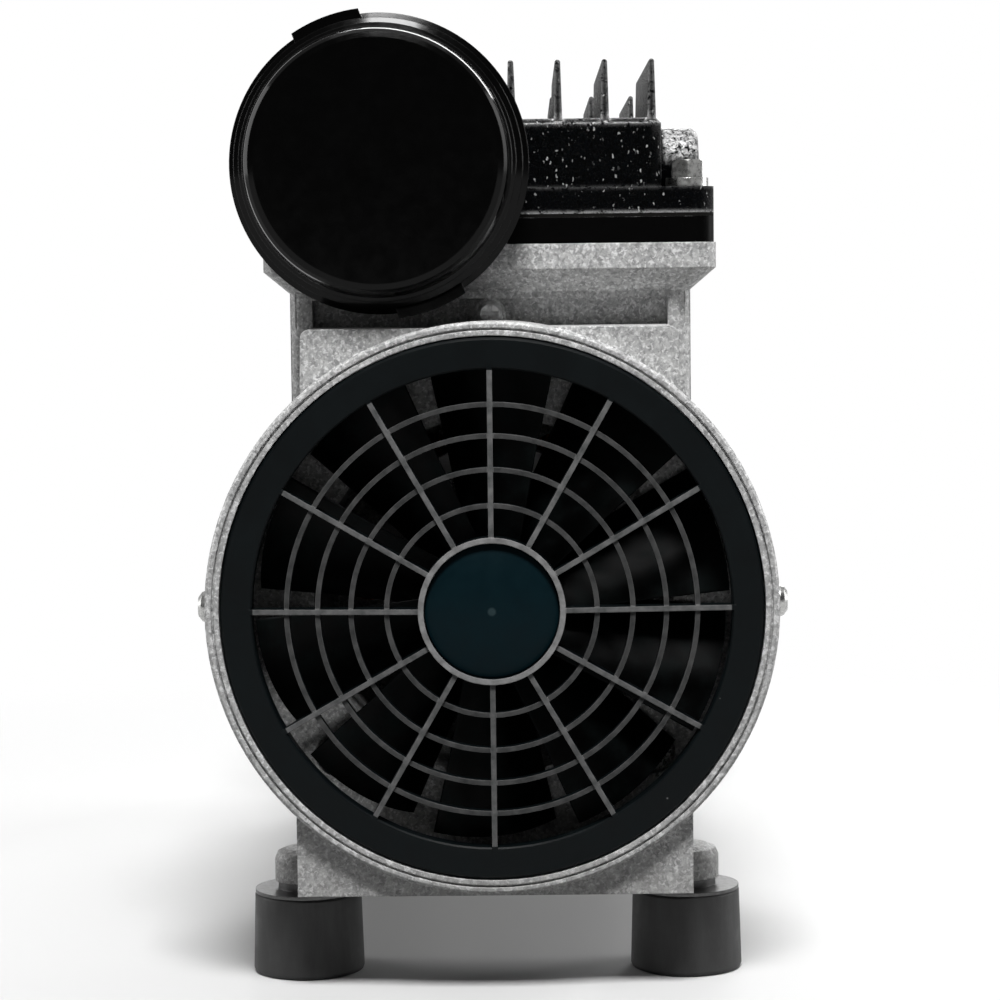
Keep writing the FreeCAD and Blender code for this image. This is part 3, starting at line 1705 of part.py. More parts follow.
def build():
    nodes = {}

    nodes["rear_crankcase"] = crankcase(True)
    nodes["front_crankcase"] = mirrored(crankcase(False))
    nodes["stator_core"] = stator_core()
    nodes["stator_windings"] = loose(both_ends(winding()))
    nodes["main_bearings"] = loose(both_ends(main_bearing()))
    signs = (-1, 1)
    corners = [(tie_bolt_offset * a, tie_bolt_offset * b) for a in signs for b in signs]
    nodes["tie_bolts"] = loose([tie_bolt(x, rise) for x, rise in corners])
    nodes["tie_nuts"] = loose([tie_nut(x, rise) for x, rise in corners])
    nodes["lead_grommet"] = grommet()

    nodes["shaft"] = shaft()
    nodes["rotor_core"] = rotor_core()
    nodes["rotor_end_rings"] = loose(both_ends(end_ring()))
    nodes["fan_clips"] = loose(both_ends(fan_clip()))

    rear_right = foot_rubber()
    nodes["rear_right_foot"] = rear_right
    nodes["rear_left_foot"] = sideways(rear_right)
    nodes["front_right_foot"] = mirrored(rear_right)
    nodes["front_left_foot"] = sideways(mirrored(rear_right))
    nodes["foot_studs"] = loose(four_corners(foot_stud()))
    nodes["foot_inserts"] = loose(four_corners(foot_insert()))

    # The front piston rests at the top of its stroke and the rear one at the bottom.
    for name, side, place in (("front", 1, mirrored), ("rear", -1, lambda shape: shape)):
        nodes[name + "_eccentric"] = place(eccentric(side))
        nodes[name + "_crank_bush"] = place(crank_bush(side))
        nodes[name + "_big_end_bearing"] = place(big_end_bearing(side))
        nodes[name + "_connecting_rod"] = place(connecting_rod(side))
        nodes[name + "_cup_seal"] = place(cup_seal(side))
        nodes[name + "_cup_retainer"] = place(cup_retainer(side))
        nodes[name + "_retainer_screw"] = place(retainer_screw(side))
        nodes[name + "_cylinder_sleeve"] = place(cylinder_sleeve())
        nodes[name + "_valve_plate"] = place(valve_plate())
        nodes[name + "_fan"] = place(fan())
        nodes[name + "_fan_cover"] = place(fan_cover())
    nodes["eccentric_set_screws"] = loose(
        [
            mirrored(set_screw_rod(1, set_screw_radius, 0)),
            set_screw_rod(-1, set_screw_radius, 0),
        ]
    )

    nodes["front_cylinder_head"] = mirrored(cylinder_head(True, False))
    nodes["rear_cylinder_head"] = cylinder_head(False, True)
    nodes["cylinder_seals"] = loose(both_ends(cylinder_seal()))
    nodes["intake_reeds"] = loose(both_ends(intake_reed()))
    nodes["exhaust_reeds"] = loose(both_ends(exhaust_reed()))
    nodes["reed_stops"] = loose(both_ends(reed_stop()))
    nodes["reed_screws"] = loose(
        [copy for screw in reed_screws() for copy in both_ends(screw)]
    )
    nodes["head_gaskets"] = loose(both_ends(head_gasket()))
    nodes["head_bolts"] = loose([copy for bolt in head_bolt() for copy in four_corners(bolt)])
    nodes["head_washers"] = loose(
        [copy for washer in head_washer() for copy in four_corners(washer)]
    )
    nodes["intake_transfer_tube"] = transfer_tube(-tube_x)
    nodes["exhaust_transfer_tube"] = transfer_tube(tube_x)
    nodes["tube_seals"] = loose(
        [copy for x in (-tube_x, tube_x) for copy in both_ends(tube_seal(x))]
    )

    nodes["filter_base"] = mirrored(filter_base())
    nodes["filter_element"] = mirrored(filter_element())
    nodes["filter_cap"] = mirrored(filter_cap())

    nodes["hub_caps"] = loose(both_ends(hub_cap()))
    nodes["neck_screws"] = loose(both_ends(neck_screw()))
    nodes["cover_screws"] = loose(four_corners(cover_screw()))
    return nodes


os.makedirs("parts", exist_ok=True)
for node, shape in build().items():
    shape.exportStep("parts/" + node + ".step")
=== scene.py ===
"""Looks of a twin-cylinder oil-free air compressor: finishes, small details, light and camera."""
import json
import math

import bmesh
import bpy
from mathutils import Matrix, Vector


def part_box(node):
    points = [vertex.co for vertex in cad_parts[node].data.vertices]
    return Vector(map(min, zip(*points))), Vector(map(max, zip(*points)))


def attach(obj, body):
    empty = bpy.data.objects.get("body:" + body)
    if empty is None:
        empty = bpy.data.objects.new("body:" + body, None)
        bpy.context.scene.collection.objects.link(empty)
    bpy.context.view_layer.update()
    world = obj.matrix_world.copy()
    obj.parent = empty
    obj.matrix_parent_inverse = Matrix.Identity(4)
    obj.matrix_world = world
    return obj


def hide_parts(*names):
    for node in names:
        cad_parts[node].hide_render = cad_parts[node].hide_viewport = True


# Camera, placed where the photograph was taken from
camera_place = Vector((0.0082, -0.7726, 0.1599))
camera_turn = 0.547           # degrees to the left, about the upright
camera_tilt = 4.216           # degrees downwards
camera_roll = -0.68           # degrees
focal_pixels = 2883.7         # on a picture 1000 pixels wide
sensor_width = 36.0

# Light levels, where 1 shows a colour as it is written
sky_front = 0.10
sky_back = 0.55
sky_for_diffuse = 0.07
floor_seen = 0.56             # albedo of the floor for the camera and for reflections
floor_bounce = 0.09           # and for the light that it throws back on the object
floor_half = 6.0
shadow_reach = 0.16           # the floor shows its shadow this far from the middle
shadow_end = 0.42             # and is plain white beyond this

mm = 0.001

# Where the finishes change on the object, in metres
rib_outer = 0.0536            # radius of the grille's ribs, round the shaft
rib_inner = 0.0166
collar_inner = 0.0152         # inside of the hub's collar, round the cap
spoke_count = 12
spoke_half = 0.0008           # half the width of a spoke, with its rounded edges
gate_mark = 0.0011            # radius of the gate's mark on the hub cap
roof_rise = 0.022             # from the head's lower face up to its roof
boss_side = 0.0415            # the port bosses lie beyond this, sideways
shade_and_dust_top = 0.044              # painted shade and dust darken the castings below this height
shade_and_dust_full = 0.026             # and most of all below this one
sheet_pitch = 0.00065         # of the stator's laminations
wire_turns = 190              # that show round one end of the windings
wire_wander = 27.0            # radians by which the turns wander

# Pieces that the solids leave plain
element_bore = 0.0140
end_ring = 0.0018             # thickness of the element's end rings
pleat_count = 64
pleat_margin = 0.0007         # from the folds to the element's inside and outside
paper_thickness = 0.0004
thread_pitch = 0.00134
thread_height = 0.00075
thread_share = 0.75           # of the bore's depth that is threaded
thread_start = 0.8            # turns from the bore's mouth down to where the ridge begins
thread_root = 0.45            # half the ridge's width at its root, as a share of the pitch
thread_crest = 0.06           # and at its crest
round_steps = 96              # corners of a turned piece
thread_steps = 40             # corners of one turn of thread


class Graph:
    """One procedural material, with short ways to add and join its nodes."""

    def __init__(self, name):
        self.material = bpy.data.materials.new(name)
        self.material.use_nodes = True
        self.tree = self.material.node_tree
        self.shader = self.tree.nodes["Principled BSDF"]
        self.place = self.add("ShaderNodeTexCoord").outputs["Object"]

    def add(self, kind, **settings):
        node = self.tree.nodes.new(kind)
        for name, value in settings.items():
            setattr(node, name, value)
        return node

    def join(self, value, socket):
        """Link an output, or set a plain number or colour."""
        if isinstance(value, bpy.types.NodeSocket):
            self.tree.links.new(value, socket)
        else:
            socket.default_value = value

    def set(self, **values):
        """Set or link the shader's sockets, named with _ for blanks."""
        for name, value in values.items():
            self.join(value, self.shader.inputs[name.replace("_", " ")])

    def maths(self, operation, *values, clamp=False):
        node = self.add("ShaderNodeMath", operation=operation, use_clamp=clamp)
        for value, socket in zip(values, node.inputs):
            self.join(value, socket)
        return node.outputs[0]

    def vector(self, operation, *values):
        node = self.add("ShaderNodeVectorMath", operation=operation)
        for value, socket in zip(values, node.inputs):
            self.join(value, socket)
        output = "Value" if operation in ("DOT_PRODUCT", "LENGTH") else "Vector"
        return node.outputs[output]

    def ramp(self, value, low, high, to_low=0.0, to_high=1.0):
        """Straight-line change between two values, held beyond them."""
        node = self.add("ShaderNodeMapRange", clamp=True)
        for item, socket in zip((value, low, high, to_low, to_high), node.inputs):
            self.join(item, socket)
        return node.outputs[0]

    def mix(self, factor, first, second):
        node = self.add("ShaderNodeMix", data_type="RGBA")
        self.join(factor, node.inputs["Factor"])
        self.join(first, node.inputs["A"])
        self.join(second, node.inputs["B"])
        return [o for o in node.outputs if o.type == "RGBA"][0]

    def stretched(self, along):
        """Object place scaled unevenly, for grain that runs one way."""
        return self.vector("MULTIPLY", self.place, along)

    def noise(self, size, detail=3.0, rough=0.55, place=None, warp=0.0):
        """Cloudy noise with features of about the given size in millimetres."""
        node = self.add("ShaderNodeTexNoise")
        self.join(self.place if place is None else place, node.inputs["Vector"])
        node.inputs["Scale"].default_value = 1.0 / (size * mm)
        node.inputs["Detail"].default_value = detail
        node.inputs["Roughness"].default_value = rough
        node.inputs["Distortion"].default_value = warp
        return node.outputs["Fac"]

    def cells(self, size, place=None):
        """Cell noise: distance to the nearest point, and a random number per cell."""
        node = self.add("ShaderNodeTexVoronoi")
        self.join(self.place if place is None else place, node.inputs["Vector"])
        node.inputs["Scale"].default_value = 1.0 / (size * mm)
        separate = self.add("ShaderNodeSeparateColor")
        self.tree.links.new(node.outputs["Color"], separate.inputs[0])
        return node.outputs["Distance"], separate.outputs[0]

    def spread(self, size):
        """Vector noise about zero, to push a pattern out of its regular cells."""
        node = self.add("ShaderNodeTexNoise")
        self.join(self.place, node.inputs["Vector"])
        node.inputs["Scale"].default_value = 1.0 / (size * mm)
        return self.vector("SUBTRACT", node.outputs["Color"], (0.5, 0.5, 0.5))

    def rounded(self, radius):
        """Normal that runs round the edges, as on a cast or moulded piece."""
        node = self.add("ShaderNodeBevel", samples=4)
        node.inputs["Radius"].default_value = radius * mm
        return node.outputs[0]

    def edges(self, radius):
        """1 at the edges and 0 on flat faces."""
        flat = self.add("ShaderNodeNewGeometry").outputs["True Normal"]
        node = self.add("ShaderNodeBevel", samples=6)
        node.inputs["Radius"].default_value = radius * mm
        same = self.vector("DOT_PRODUCT", node.outputs[0], flat)
        return self.ramp(same, 1.0, 0.75)

    def bump(self, height, depth, below=None):
        """Relief of a height from 0 to 1, as deep as given in millimetres."""
        node = self.add("ShaderNodeBump")
        node.inputs["Strength"].default_value = 1.0
        node.inputs["Distance"].default_value = depth * mm
        self.join(height, node.inputs["Height"])
        if below is not None:
            self.join(below, node.inputs["Normal"])
        return node.outputs[0]

    def axis(self, name):
        node = self.add("ShaderNodeSeparateXYZ")
        self.join(self.place, node.inputs[0])
        return node.outputs[name]

    def facing(self, direction):
        """How squarely a flat face looks along a direction or against it."""
        flat = self.add("ShaderNodeNewGeometry").outputs["True Normal"]
        return self.maths("ABSOLUTE", self.vector("DOT_PRODUCT", flat, direction))

    def from_shaft(self):
        """Place measured from the shaft's axis."""
        return self.vector("SUBTRACT", self.place, (0, 0, shaft_height))

    def shaft_distance(self):
        """Distance from the shaft's axis."""
        flat = self.vector("MULTIPLY", self.from_shaft(), (1, 0, 1))
        return self.vector("LENGTH", flat)

    def shaft_angle(self):
        """Angle round the shaft's axis."""
        parts = self.add("ShaderNodeSeparateXYZ")
        self.join(self.from_shaft(), parts.inputs[0])
        return self.maths("ARCTAN2", parts.outputs["Z"], parts.outputs["X"])

    def spoke_distance(self):
        """Distance from the middle line of the nearest spoke."""
        turned = self.maths("MULTIPLY", self.shaft_angle(), spoke_count / 2)
        swing = self.maths("ABSOLUTE", self.maths("SINE", turned))
        aside = self.maths("MULTIPLY", self.shaft_distance(), swing)
        return self.maths("MULTIPLY", aside, 2 / spoke_count)


def grey(level, tint=(1.0, 1.0, 1.0)):
    return (level * tint[0], level * tint[1], level * tint[2], 1.0)


# Materials

def cast_aluminium():
    """Bare shot-blasted casting: fine grain, soft blotches, small painted glints, darker low down
    with painted shade and dust.
    """
    g = Graph("cast_aluminium")
    grain = g.noise(0.42, 4.0, 0.7)
    fleck = g.ramp(g.noise(0.90, 3.0, 0.6, warp=0.5), 0.51, 0.64)
    shade = g.ramp(g.noise(1.15, 4.0, 0.6, warp=0.5), 0.50, 0.37)
    blotch = g.noise(2.4, 4.0, 0.62, warp=0.9)
    cloud = g.noise(19.0, 3.0, 0.55)
    # painted glints: a few cells make small bright specks in the colour
    near, chance = g.cells(1.25)
    painted_glint = g.maths("MULTIPLY", g.ramp(chance, 0.86, 0.95), g.ramp(near, 0.34, 0.10))
    near_pit, pit_chance = g.cells(1.7)
    pit = g.maths("MULTIPLY", g.ramp(pit_chance, 0.80, 0.90), g.ramp(near_pit, 0.36, 0.12))
    skin = g.mix(g.ramp(blotch, 0.38, 0.62), grey(0.36), grey(0.62, (1.0, 1.0, 0.99)))
    grained = g.mix(g.ramp(grain, 0.30, 0.72, 0.0, 0.60), skin, grey(0.26, (0.99, 1.0, 1.0)))
    shaded = g.mix(g.maths("MULTIPLY", shade, 0.75), grained, grey(0.18))
    flecked = g.mix(g.maths("MULTIPLY", fleck, 0.75), shaded, grey(0.84))
    clouded = g.mix(g.ramp(cloud, 0.42, 0.75, 0.0, 0.25), flecked, grey(0.31))
    pitted = g.mix(g.maths("MULTIPLY", pit, 0.55), clouded, grey(0.15))
    bright = g.mix(g.maths("MULTIPLY", painted_glint, 0.75), pitted, grey(0.80))
    # painted shade and dust: the colour darkens towards the bottom, in patches
    dust = g.noise(7.0, 4.0, 0.65, warp=0.5)
    depth = g.ramp(g.axis("Z"), shade_and_dust_top, shade_and_dust_full)
    low = g.maths("MULTIPLY", depth, g.ramp(dust, 0.30, 0.60, 0.15, 0.50))
    colour = g.mix(low, bright, grey(0.20, (1.0, 0.98, 0.94)))
    relief = g.maths("SUBTRACT", blotch, g.maths("MULTIPLY", pit, 0.5))
    rough = g.bump(relief, 0.09, g.rounded(0.45))
    g.set(
        Base_Color=colour,
        Metallic=0.12,
        Roughness=g.ramp(grain, 0.3, 0.7, 0.40, 0.58),
        Normal=g.bump(grain, 0.045, rough),
    )
    return g.material


def black_casting():
    """Head paint over a rough casting: painted glints as metal specks on the grain, a painted
    highlight on the port bosses' upper parts, the metal showing at worn edges.
    """
    g = Graph("black_casting")
    coarse = g.noise(1.0, 4.0, 0.65, warp=0.4)
    fine = g.noise(0.40, 3.0, 0.6)
    # painted glints: bright metal specks on the grain, thicker in patches
    tall = g.stretched((1.0, 1.0, 0.6))
    warped = g.vector("ADD", tall, g.vector("MULTIPLY", g.spread(0.9), (0.0010,) * 3))
    near, chance = g.cells(0.72, warped)
    fleck = g.maths("MULTIPLY", g.ramp(chance, 0.80, 0.88), g.ramp(near, 0.36, 0.14))
    patches = g.ramp(g.noise(5.0, 3.0, 0.6), 0.42, 0.58)
    speck = g.maths("MULTIPLY", fleck, g.ramp(patches, 0.0, 1.0, 0.30, 0.85))
    chips = g.noise(1.1, 4.0, 0.7, warp=0.5)
    rise = g.maths("SUBTRACT", g.axis("Z"), head_foot)
    foot = g.ramp(rise, 0.0022, 0.0008, 0.0, 0.7)
    strip = g.ramp(rise, roof_rise - 0.005, roof_rise - 0.003)
    fins = g.ramp(rise, roof_rise + 0.0016, roof_rise + 0.0008, 0.30, 1.0)
    upper = g.maths("MAXIMUM", g.maths("MULTIPLY", strip, fins), foot)
    worn = g.maths("MULTIPLY", g.edges(1.7), g.ramp(upper, 0.0, 1.0, 0.08, 1.0))
    edge = g.maths("MULTIPLY", worn, g.ramp(chips, 0.38, 0.49))
    # painted highlight: the upper part of each port boss, ragged, in bright metal
    sideways = g.maths("ABSOLUTE", g.axis("X"))
    boss = g.maths("MULTIPLY", g.ramp(sideways, boss_side, boss_side + 0.001),
                   g.ramp(rise, roof_rise - 0.010, roof_rise - 0.006))
    painted_highlight = g.maths("MULTIPLY", boss, g.ramp(chips, 0.40, 0.62, 0.0, 0.70))
    # metal showing at worn edges, with the painted glints and the painted highlight
    bare_and_painted_shine = g.maths("MAXIMUM", g.maths("MAXIMUM", speck, edge), painted_highlight, clamp=True)
    paint = g.mix(g.ramp(coarse, 0.35, 0.7), grey(0.0002), grey(0.0012, (0.7, 1.0, 1.5)))
    colour = g.mix(bare_and_painted_shine, paint, grey(0.74))
    relief = g.bump(coarse, 0.26, g.rounded(0.5))
    g.set(
        Base_Color=colour,
        Metallic=g.maths("MULTIPLY", bare_and_painted_shine, 0.5),
        Roughness=g.ramp(fine, 0.3, 0.7, 0.20, 0.34),
        Specular_IOR_Level=0.035,
        Normal=g.bump(fine, 0.12, relief),
    )
    return g.material


def black_plate():
    """Smooth black coating on the machined valve plate."""
    g = Graph("black_plate")
    fine = g.noise(0.5, 2.0)
    edge = g.maths("MULTIPLY", g.edges(0.3), g.ramp(g.noise(2.2, 4.0, 0.7), 0.54, 0.66))
    colour = g.mix(edge, g.mix(g.noise(6.0), grey(0.0006), grey(0.0016)), grey(0.22))
    g.set(
        Base_Color=colour,
        Roughness=g.ramp(fine, 0.3, 0.7, 0.30, 0.42),
        Specular_IOR_Level=0.03,
        Normal=g.bump(fine, 0.01, g.rounded(0.25)),
    )
    return g.material


def black_plastic():
    """Fan cover: satin moulded plastic, its ribs scuffed grey on their front faces, and the front
    of the hub's collar lighter grey as a painted highlight.
    """
    g = Graph("black_plastic")
    grain = g.noise(0.35, 2.0)
    cloud = g.noise(9.0, 3.0, 0.55, warp=0.5)
    body = g.mix(cloud, grey(0.0015, (0.62, 1.0, 1.2)), grey(0.0045, (0.55, 1.0, 1.15)))
    distance = g.shaft_distance()
    inside = g.maths("LESS_THAN", distance, rib_outer)
    outside = g.maths("GREATER_THAN", distance, collar_inner)
    front = g.ramp(g.facing((0, 1, 0)), 0.80, 0.95)
    rib = g.maths("MULTIPLY", g.maths("MULTIPLY", inside, outside), front)
    collar = g.maths("LESS_THAN", distance, rib_inner)
    scuff = g.ramp(g.noise(3.0, 4.0, 0.6), 0.32, 0.68)
    spoke = g.maths("LESS_THAN", g.spoke_distance(), spoke_half)
    ring = g.mix(scuff, grey(0.028, (0.96, 1.0, 1.0)), grey(0.070))
    bar = g.mix(scuff, grey(0.060, (0.96, 1.0, 1.0)), grey(0.150))
    scuffed = g.mix(spoke, ring, bar)
    worn = g.mix(g.maths("MULTIPLY", g.edges(0.35), 0.4), scuffed, grey(0.18))
    # the ribs' colour, with a painted highlight: the front of the hub's collar is lighter grey
    # than the ribs
    painted_highlight = g.mix(collar, worn, g.mix(scuff, grey(0.13), grey(0.28)))
    near, chance = g.cells(3.0)
    speck = g.maths("MULTIPLY", g.ramp(chance, 0.93, 0.96), g.ramp(near, 0.085, 0.05))
    dusty = g.mix(g.maths("MULTIPLY", speck, 0.6), body, grey(0.25))
    colour = g.mix(rib, dusty, painted_highlight)
    g.set(
        Base_Color=colour,
        Roughness=g.ramp(cloud, 0.3, 0.7, 0.34, 0.46),
        Specular_IOR_Level=0.11,
        Normal=g.bump(grain, 0.016, g.rounded(0.3)),
    )
    return g.material


def cap_plastic():
    """Hub cap: smooth dark blue-black plastic, with the mark of its mould's gate in the middle."""
    g = Graph("cap_plastic")
    cloud = g.noise(5.0, 4.0, 0.6, warp=0.4)
    plain = g.mix(cloud, grey(0.007, (0.12, 0.80, 1.15)), grey(0.012, (0.12, 0.85, 1.15)))
    gate = g.ramp(g.shaft_distance(), gate_mark, gate_mark * 0.6)
    colour = g.mix(g.maths("MULTIPLY", gate, 0.7), plain, grey(0.05, (0.6, 1.0, 1.1)))
    g.set(
        Base_Color=colour,
        Roughness=g.ramp(cloud, 0.3, 0.7, 0.34, 0.44),
        Specular_IOR_Level=0.07,
        Normal=g.bump(g.noise(0.4, 2.0), 0.010, g.rounded(0.35)),
    )
    return g.material


def gloss_black_plastic():
    """Intake filter: polished black moulding with the faintest orange peel."""
    g = Graph("gloss_black_plastic")
    wave = g.noise(9.0, 1.0)
    colour = g.mix(g.noise(14.0), grey(0.0004), grey(0.0010))
    g.set(
        Base_Color=colour,
        Roughness=g.ramp(g.noise(3.0, 3.0), 0.3, 0.7, 0.10, 0.17),
        Specular_IOR_Level=0.13,
        Normal=g.bump(wave, 0.015, g.rounded(0.35)),
    )
    return g.material


def fan_plastic():
    """Fan: dull black nylon, dusty on its blades."""
    g = Graph("fan_plastic")
    dust = g.ramp(g.noise(7.0, 4.0, 0.65), 0.46, 0.72)
    colour = g.mix(dust, grey(0.0010, (0.8, 1.0, 1.1)), grey(0.007, (0.62, 1.0, 1.0)))
    g.set(
        Base_Color=colour,
        Roughness=g.ramp(dust, 0.0, 1.0, 0.45, 0.65),
        Specular_IOR_Level=0.07,
        Normal=g.bump(g.noise(0.5, 2.0), 0.015, g.rounded(0.3)),
    )
    return g.material


def black_rubber():
    """Feet: matt moulded rubber with faint bloom and vertical wiping marks."""
    g = Graph("black_rubber")
    wiped = g.noise(1.0, 3.0, 0.6, place=g.stretched((0.35, 0.35, 0.06)))
    bloom = g.noise(6.0, 4.0, 0.6)
    base = g.mix(g.ramp(wiped, 0.35, 0.7), grey(0.016), grey(0.030))
    colour = g.mix(g.ramp(bloom, 0.5, 0.8, 0.0, 0.6), base, grey(0.045))
    fine = g.noise(0.3, 3.0, 0.6)
    g.set(
        Base_Color=colour,
        Roughness=g.ramp(bloom, 0.3, 0.7, 0.5, 0.72),
        Normal=g.bump(fine, 0.03, g.rounded(0.4)),
    )
    return g.material


def metal(name, dark, pale, roughness, grain=(1.0, 1.0, 1.0), size=0.8, depth=0.01,
          edge=0.2, tint=(1.0, 1.0, 1.0)):
    """Plated, ground or drawn metal, with marks stretched along its grain."""
    g = Graph(name)
    marks = g.noise(size, 4.0, 0.6, place=g.stretched(grain))
    cloud = g.noise(4.0, 3.0, 0.6)
    base = g.mix(g.ramp(marks, 0.3, 0.7), grey(dark, tint), grey(pale, tint))
    colour = g.mix(g.ramp(cloud, 0.45, 0.8, 0.0, 0.35), base, grey(dark * 0.8, tint))
    g.set(
        Base_Color=colour,
        Metallic=1.0,
        Roughness=g.ramp(marks, 0.3, 0.7, roughness * 0.8, roughness * 1.25),
        Normal=g.bump(marks, depth, g.rounded(edge)),
    )
    return g.material


def laminations():
    """Edges of thin steel sheets, stacked along the shaft."""
    g = Graph("laminations")
    wave = g.maths("SINE", g.maths("MULTIPLY", g.axis("Y"), 2 * math.pi / sheet_pitch))
    stain = g.noise(5.0, 4.0, 0.65)
    base = g.mix(g.ramp(wave, -0.6, 0.6), grey(0.07), grey(0.20, (1.0, 0.98, 0.96)))
    colour = g.mix(g.ramp(stain, 0.45, 0.7, 0.0, 0.6), base, grey(0.10, (1.0, 0.85, 0.7)))
    g.set(
        Base_Color=colour,
        Metallic=0.7,
        Roughness=g.ramp(stain, 0.3, 0.7, 0.4, 0.6),
        Normal=g.bump(wave, 0.05),
    )
    return g.material


def enamelled_wire():
    """Turns of copper wire under brown enamel."""
    g = Graph("enamelled_wire")
    turns = g.maths("MULTIPLY", g.shaft_angle(), wire_turns)
    wobble = g.maths("MULTIPLY", g.noise(7.0), wire_wander)
    wave = g.maths("SINE", g.maths("ADD", turns, wobble))
    colour = g.mix(
        g.ramp(wave, -0.7, 0.7), grey(0.10, (1.0, 0.32, 0.12)), grey(0.42, (1.0, 0.42, 0.18))
    )
    g.set(
        Base_Color=colour,
        Metallic=0.6,
        Roughness=g.ramp(wave, -1.0, 1.0, 0.42, 0.28),
        Normal=g.bump(wave, 0.15),
    )
    return g.material


def sheet_material(name, dark, pale, size, roughness, tint=(1.0, 1.0, 1.0), depth=0.05,
                   shine=0.5):
    """Fibrous or moulded sheet: gasket, felt and seal."""
    g = Graph(name)
    fibre = g.noise(size, 4.0, 0.7, warp=0.8)
    g.set(
        Base_Color=g.mix(g.ramp(fibre, 0.3, 0.7), grey(dark, tint), grey(pale, tint)),
        Roughness=g.ramp(fibre, 0.3, 0.7, roughness * 0.85, min(1.0, roughness * 1.1)),
        Specular_IOR_Level=shine,
        Normal=g.bump(fibre, depth),
    )
    return g.material


def make_materials():
    across = (0.25, 0.25, 1.6)
    return {
        "cast_aluminium": cast_aluminium(),
        "black_casting": black_casting(),
        "black_plate": black_plate(),
        "black_plastic": black_plastic(),
        "cap_plastic": cap_plastic(),
        "gloss_black_plastic": gloss_black_plastic(),
        "fan_plastic": fan_plastic(),
        "black_rubber": black_rubber(),
        "zinc_steel": metal("zinc_steel", 0.30, 0.60, 0.28, size=1.2, edge=0.3,
                            tint=(1.0, 1.0, 0.98)),
        "dull_steel": metal("dull_steel", 0.07, 0.13, 0.42, size=1.0, edge=0.3),
        "scuffed_steel": metal("scuffed_steel", 0.45, 0.85, 0.42, size=1.1, depth=0.05,
                               edge=0.4),
        "ground_steel": metal("ground_steel", 0.40, 0.60, 0.22, (1.0, 0.1, 1.0)),
        "bearing_steel": metal("bearing_steel", 0.36, 0.52, 0.28, edge=0.3),
        "spring_steel": metal("spring_steel", 0.30, 0.46, 0.25, (0.2, 1.0, 1.0)),
        "anodised_aluminium": metal("anodised_aluminium", 0.42, 0.52, 0.34, across),
        "cut_aluminium": metal("cut_aluminium", 0.45, 0.70, 0.24, (1.0, 0.3, 0.3), depth=0.02),
        "drawn_tube": metal("drawn_tube", 0.45, 0.62, 0.30, (1.0, 0.08, 1.0)),
        "laminations": laminations(),
        "enamelled_wire": enamelled_wire(),
        "gasket": sheet_material("gasket", 0.004, 0.009, 0.6, 0.8, (1.0, 0.98, 0.9), shine=0.05),
        "filter_felt": sheet_material("filter_felt", 0.45, 0.65, 0.5, 0.95, (1.0, 0.97, 0.88)),
        "cup_polymer": sheet_material("cup_polymer", 0.05, 0.09, 1.0, 0.4, (1.0, 0.85, 0.65)),
    }


def dress(nodes, materials, record):
    """Give every CAD node the material that its slot names, or a finish of its own."""
    own_finish = {"foot_studs": "dull_steel", "neck_screws": "scuffed_steel"}
    for part in record["subparts"]:
        finish = own_finish.get(part["node"], part["material_slot"])
        mesh = nodes[part["node"]].data
        mesh.materials.clear()
        mesh.materials.append(materials[finish])


# Pieces that the solids leave plain

def revolved(name, profile, place):
    """Closed ring from an outline of (radius, distance along Y), turned about Y."""
    points = []
    faces = []
    count = len(profile)
    for step in range(round_steps):
        angle = 2 * math.pi * step / round_steps
        for radius, along in profile:
            points.append((radius * math.cos(angle), along, radius * math.sin(angle)))
        near = step * count
        far = (step + 1) % round_steps * count
        for index in range(count):
            following = (index + 1) % count
            faces.append((near + index, near + following, far + following, far + index))
    return new_piece(name, points, faces, place)


def new_piece(name, points, faces, place):
    """Object from points about a place, in the scene's own frame."""
    mesh = bpy.data.meshes.new(name)
    mesh.from_pydata([Vector(p) + Vector(place) for p in points], [], faces)
    outward(mesh)
    piece = bpy.data.objects.new(name, mesh)
    bpy.context.scene.collection.objects.link(piece)
    return piece


def outward(mesh):
    """Turn every face of a closed mesh to look out."""
    shape = bmesh.new()
    shape.from_mesh(mesh)
    bmesh.ops.recalc_face_normals(shape, faces=shape.faces)
    shape.to_mesh(mesh)
    shape.free()


def finish_piece(piece, material):
    """Give a piece of the housing its material."""
    piece.data.materials.append(material)
    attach(piece, "housing")


def pleated_element(materials):
    """Folded paper between two moulded end rings, in place of the plain filter element."""
    low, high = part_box("filter_element")
    middle = (low + high) / 2
    place = (middle.x, 0, middle.z)
    outer = (high.x - low.x) / 2
    points = []
    for index in range(2 * pleat_count):
        angle = math.pi * index / pleat_count
        radius = outer - pleat_margin if index % 2 else element_bore + pleat_margin
        for along in (low.y + end_ring / 2, high.y - end_ring / 2):
            points.append((radius * math.cos(angle), along, radius * math.sin(angle)))
    count = len(points)
    faces = [
        (i, (i + 2) % count, (i + 3) % count, i + 1) for i in range(0, count, 2)
    ]
    paper = new_piece("element_paper", points, faces, place)
    thick = paper.modifiers.new("paper", "SOLIDIFY")
    thick.thickness = paper_thickness
    thick.offset = 0.0
    finish_piece(paper, materials["filter_felt"])
    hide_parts("filter_element")
    for name, start in (("element_back_ring", low.y), ("element_front_ring", high.y - end_ring)):
        edge = end_ring / 4
        profile = [
            (element_bore, start), (outer - edge, start), (outer, start + edge),
            (outer, start + end_ring - edge), (outer - edge, start + end_ring),
            (element_bore, start + end_ring),
        ]
        ring = revolved(name, profile, place)
        finish_piece(ring, materials["black_rubber"])
        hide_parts("filter_element")


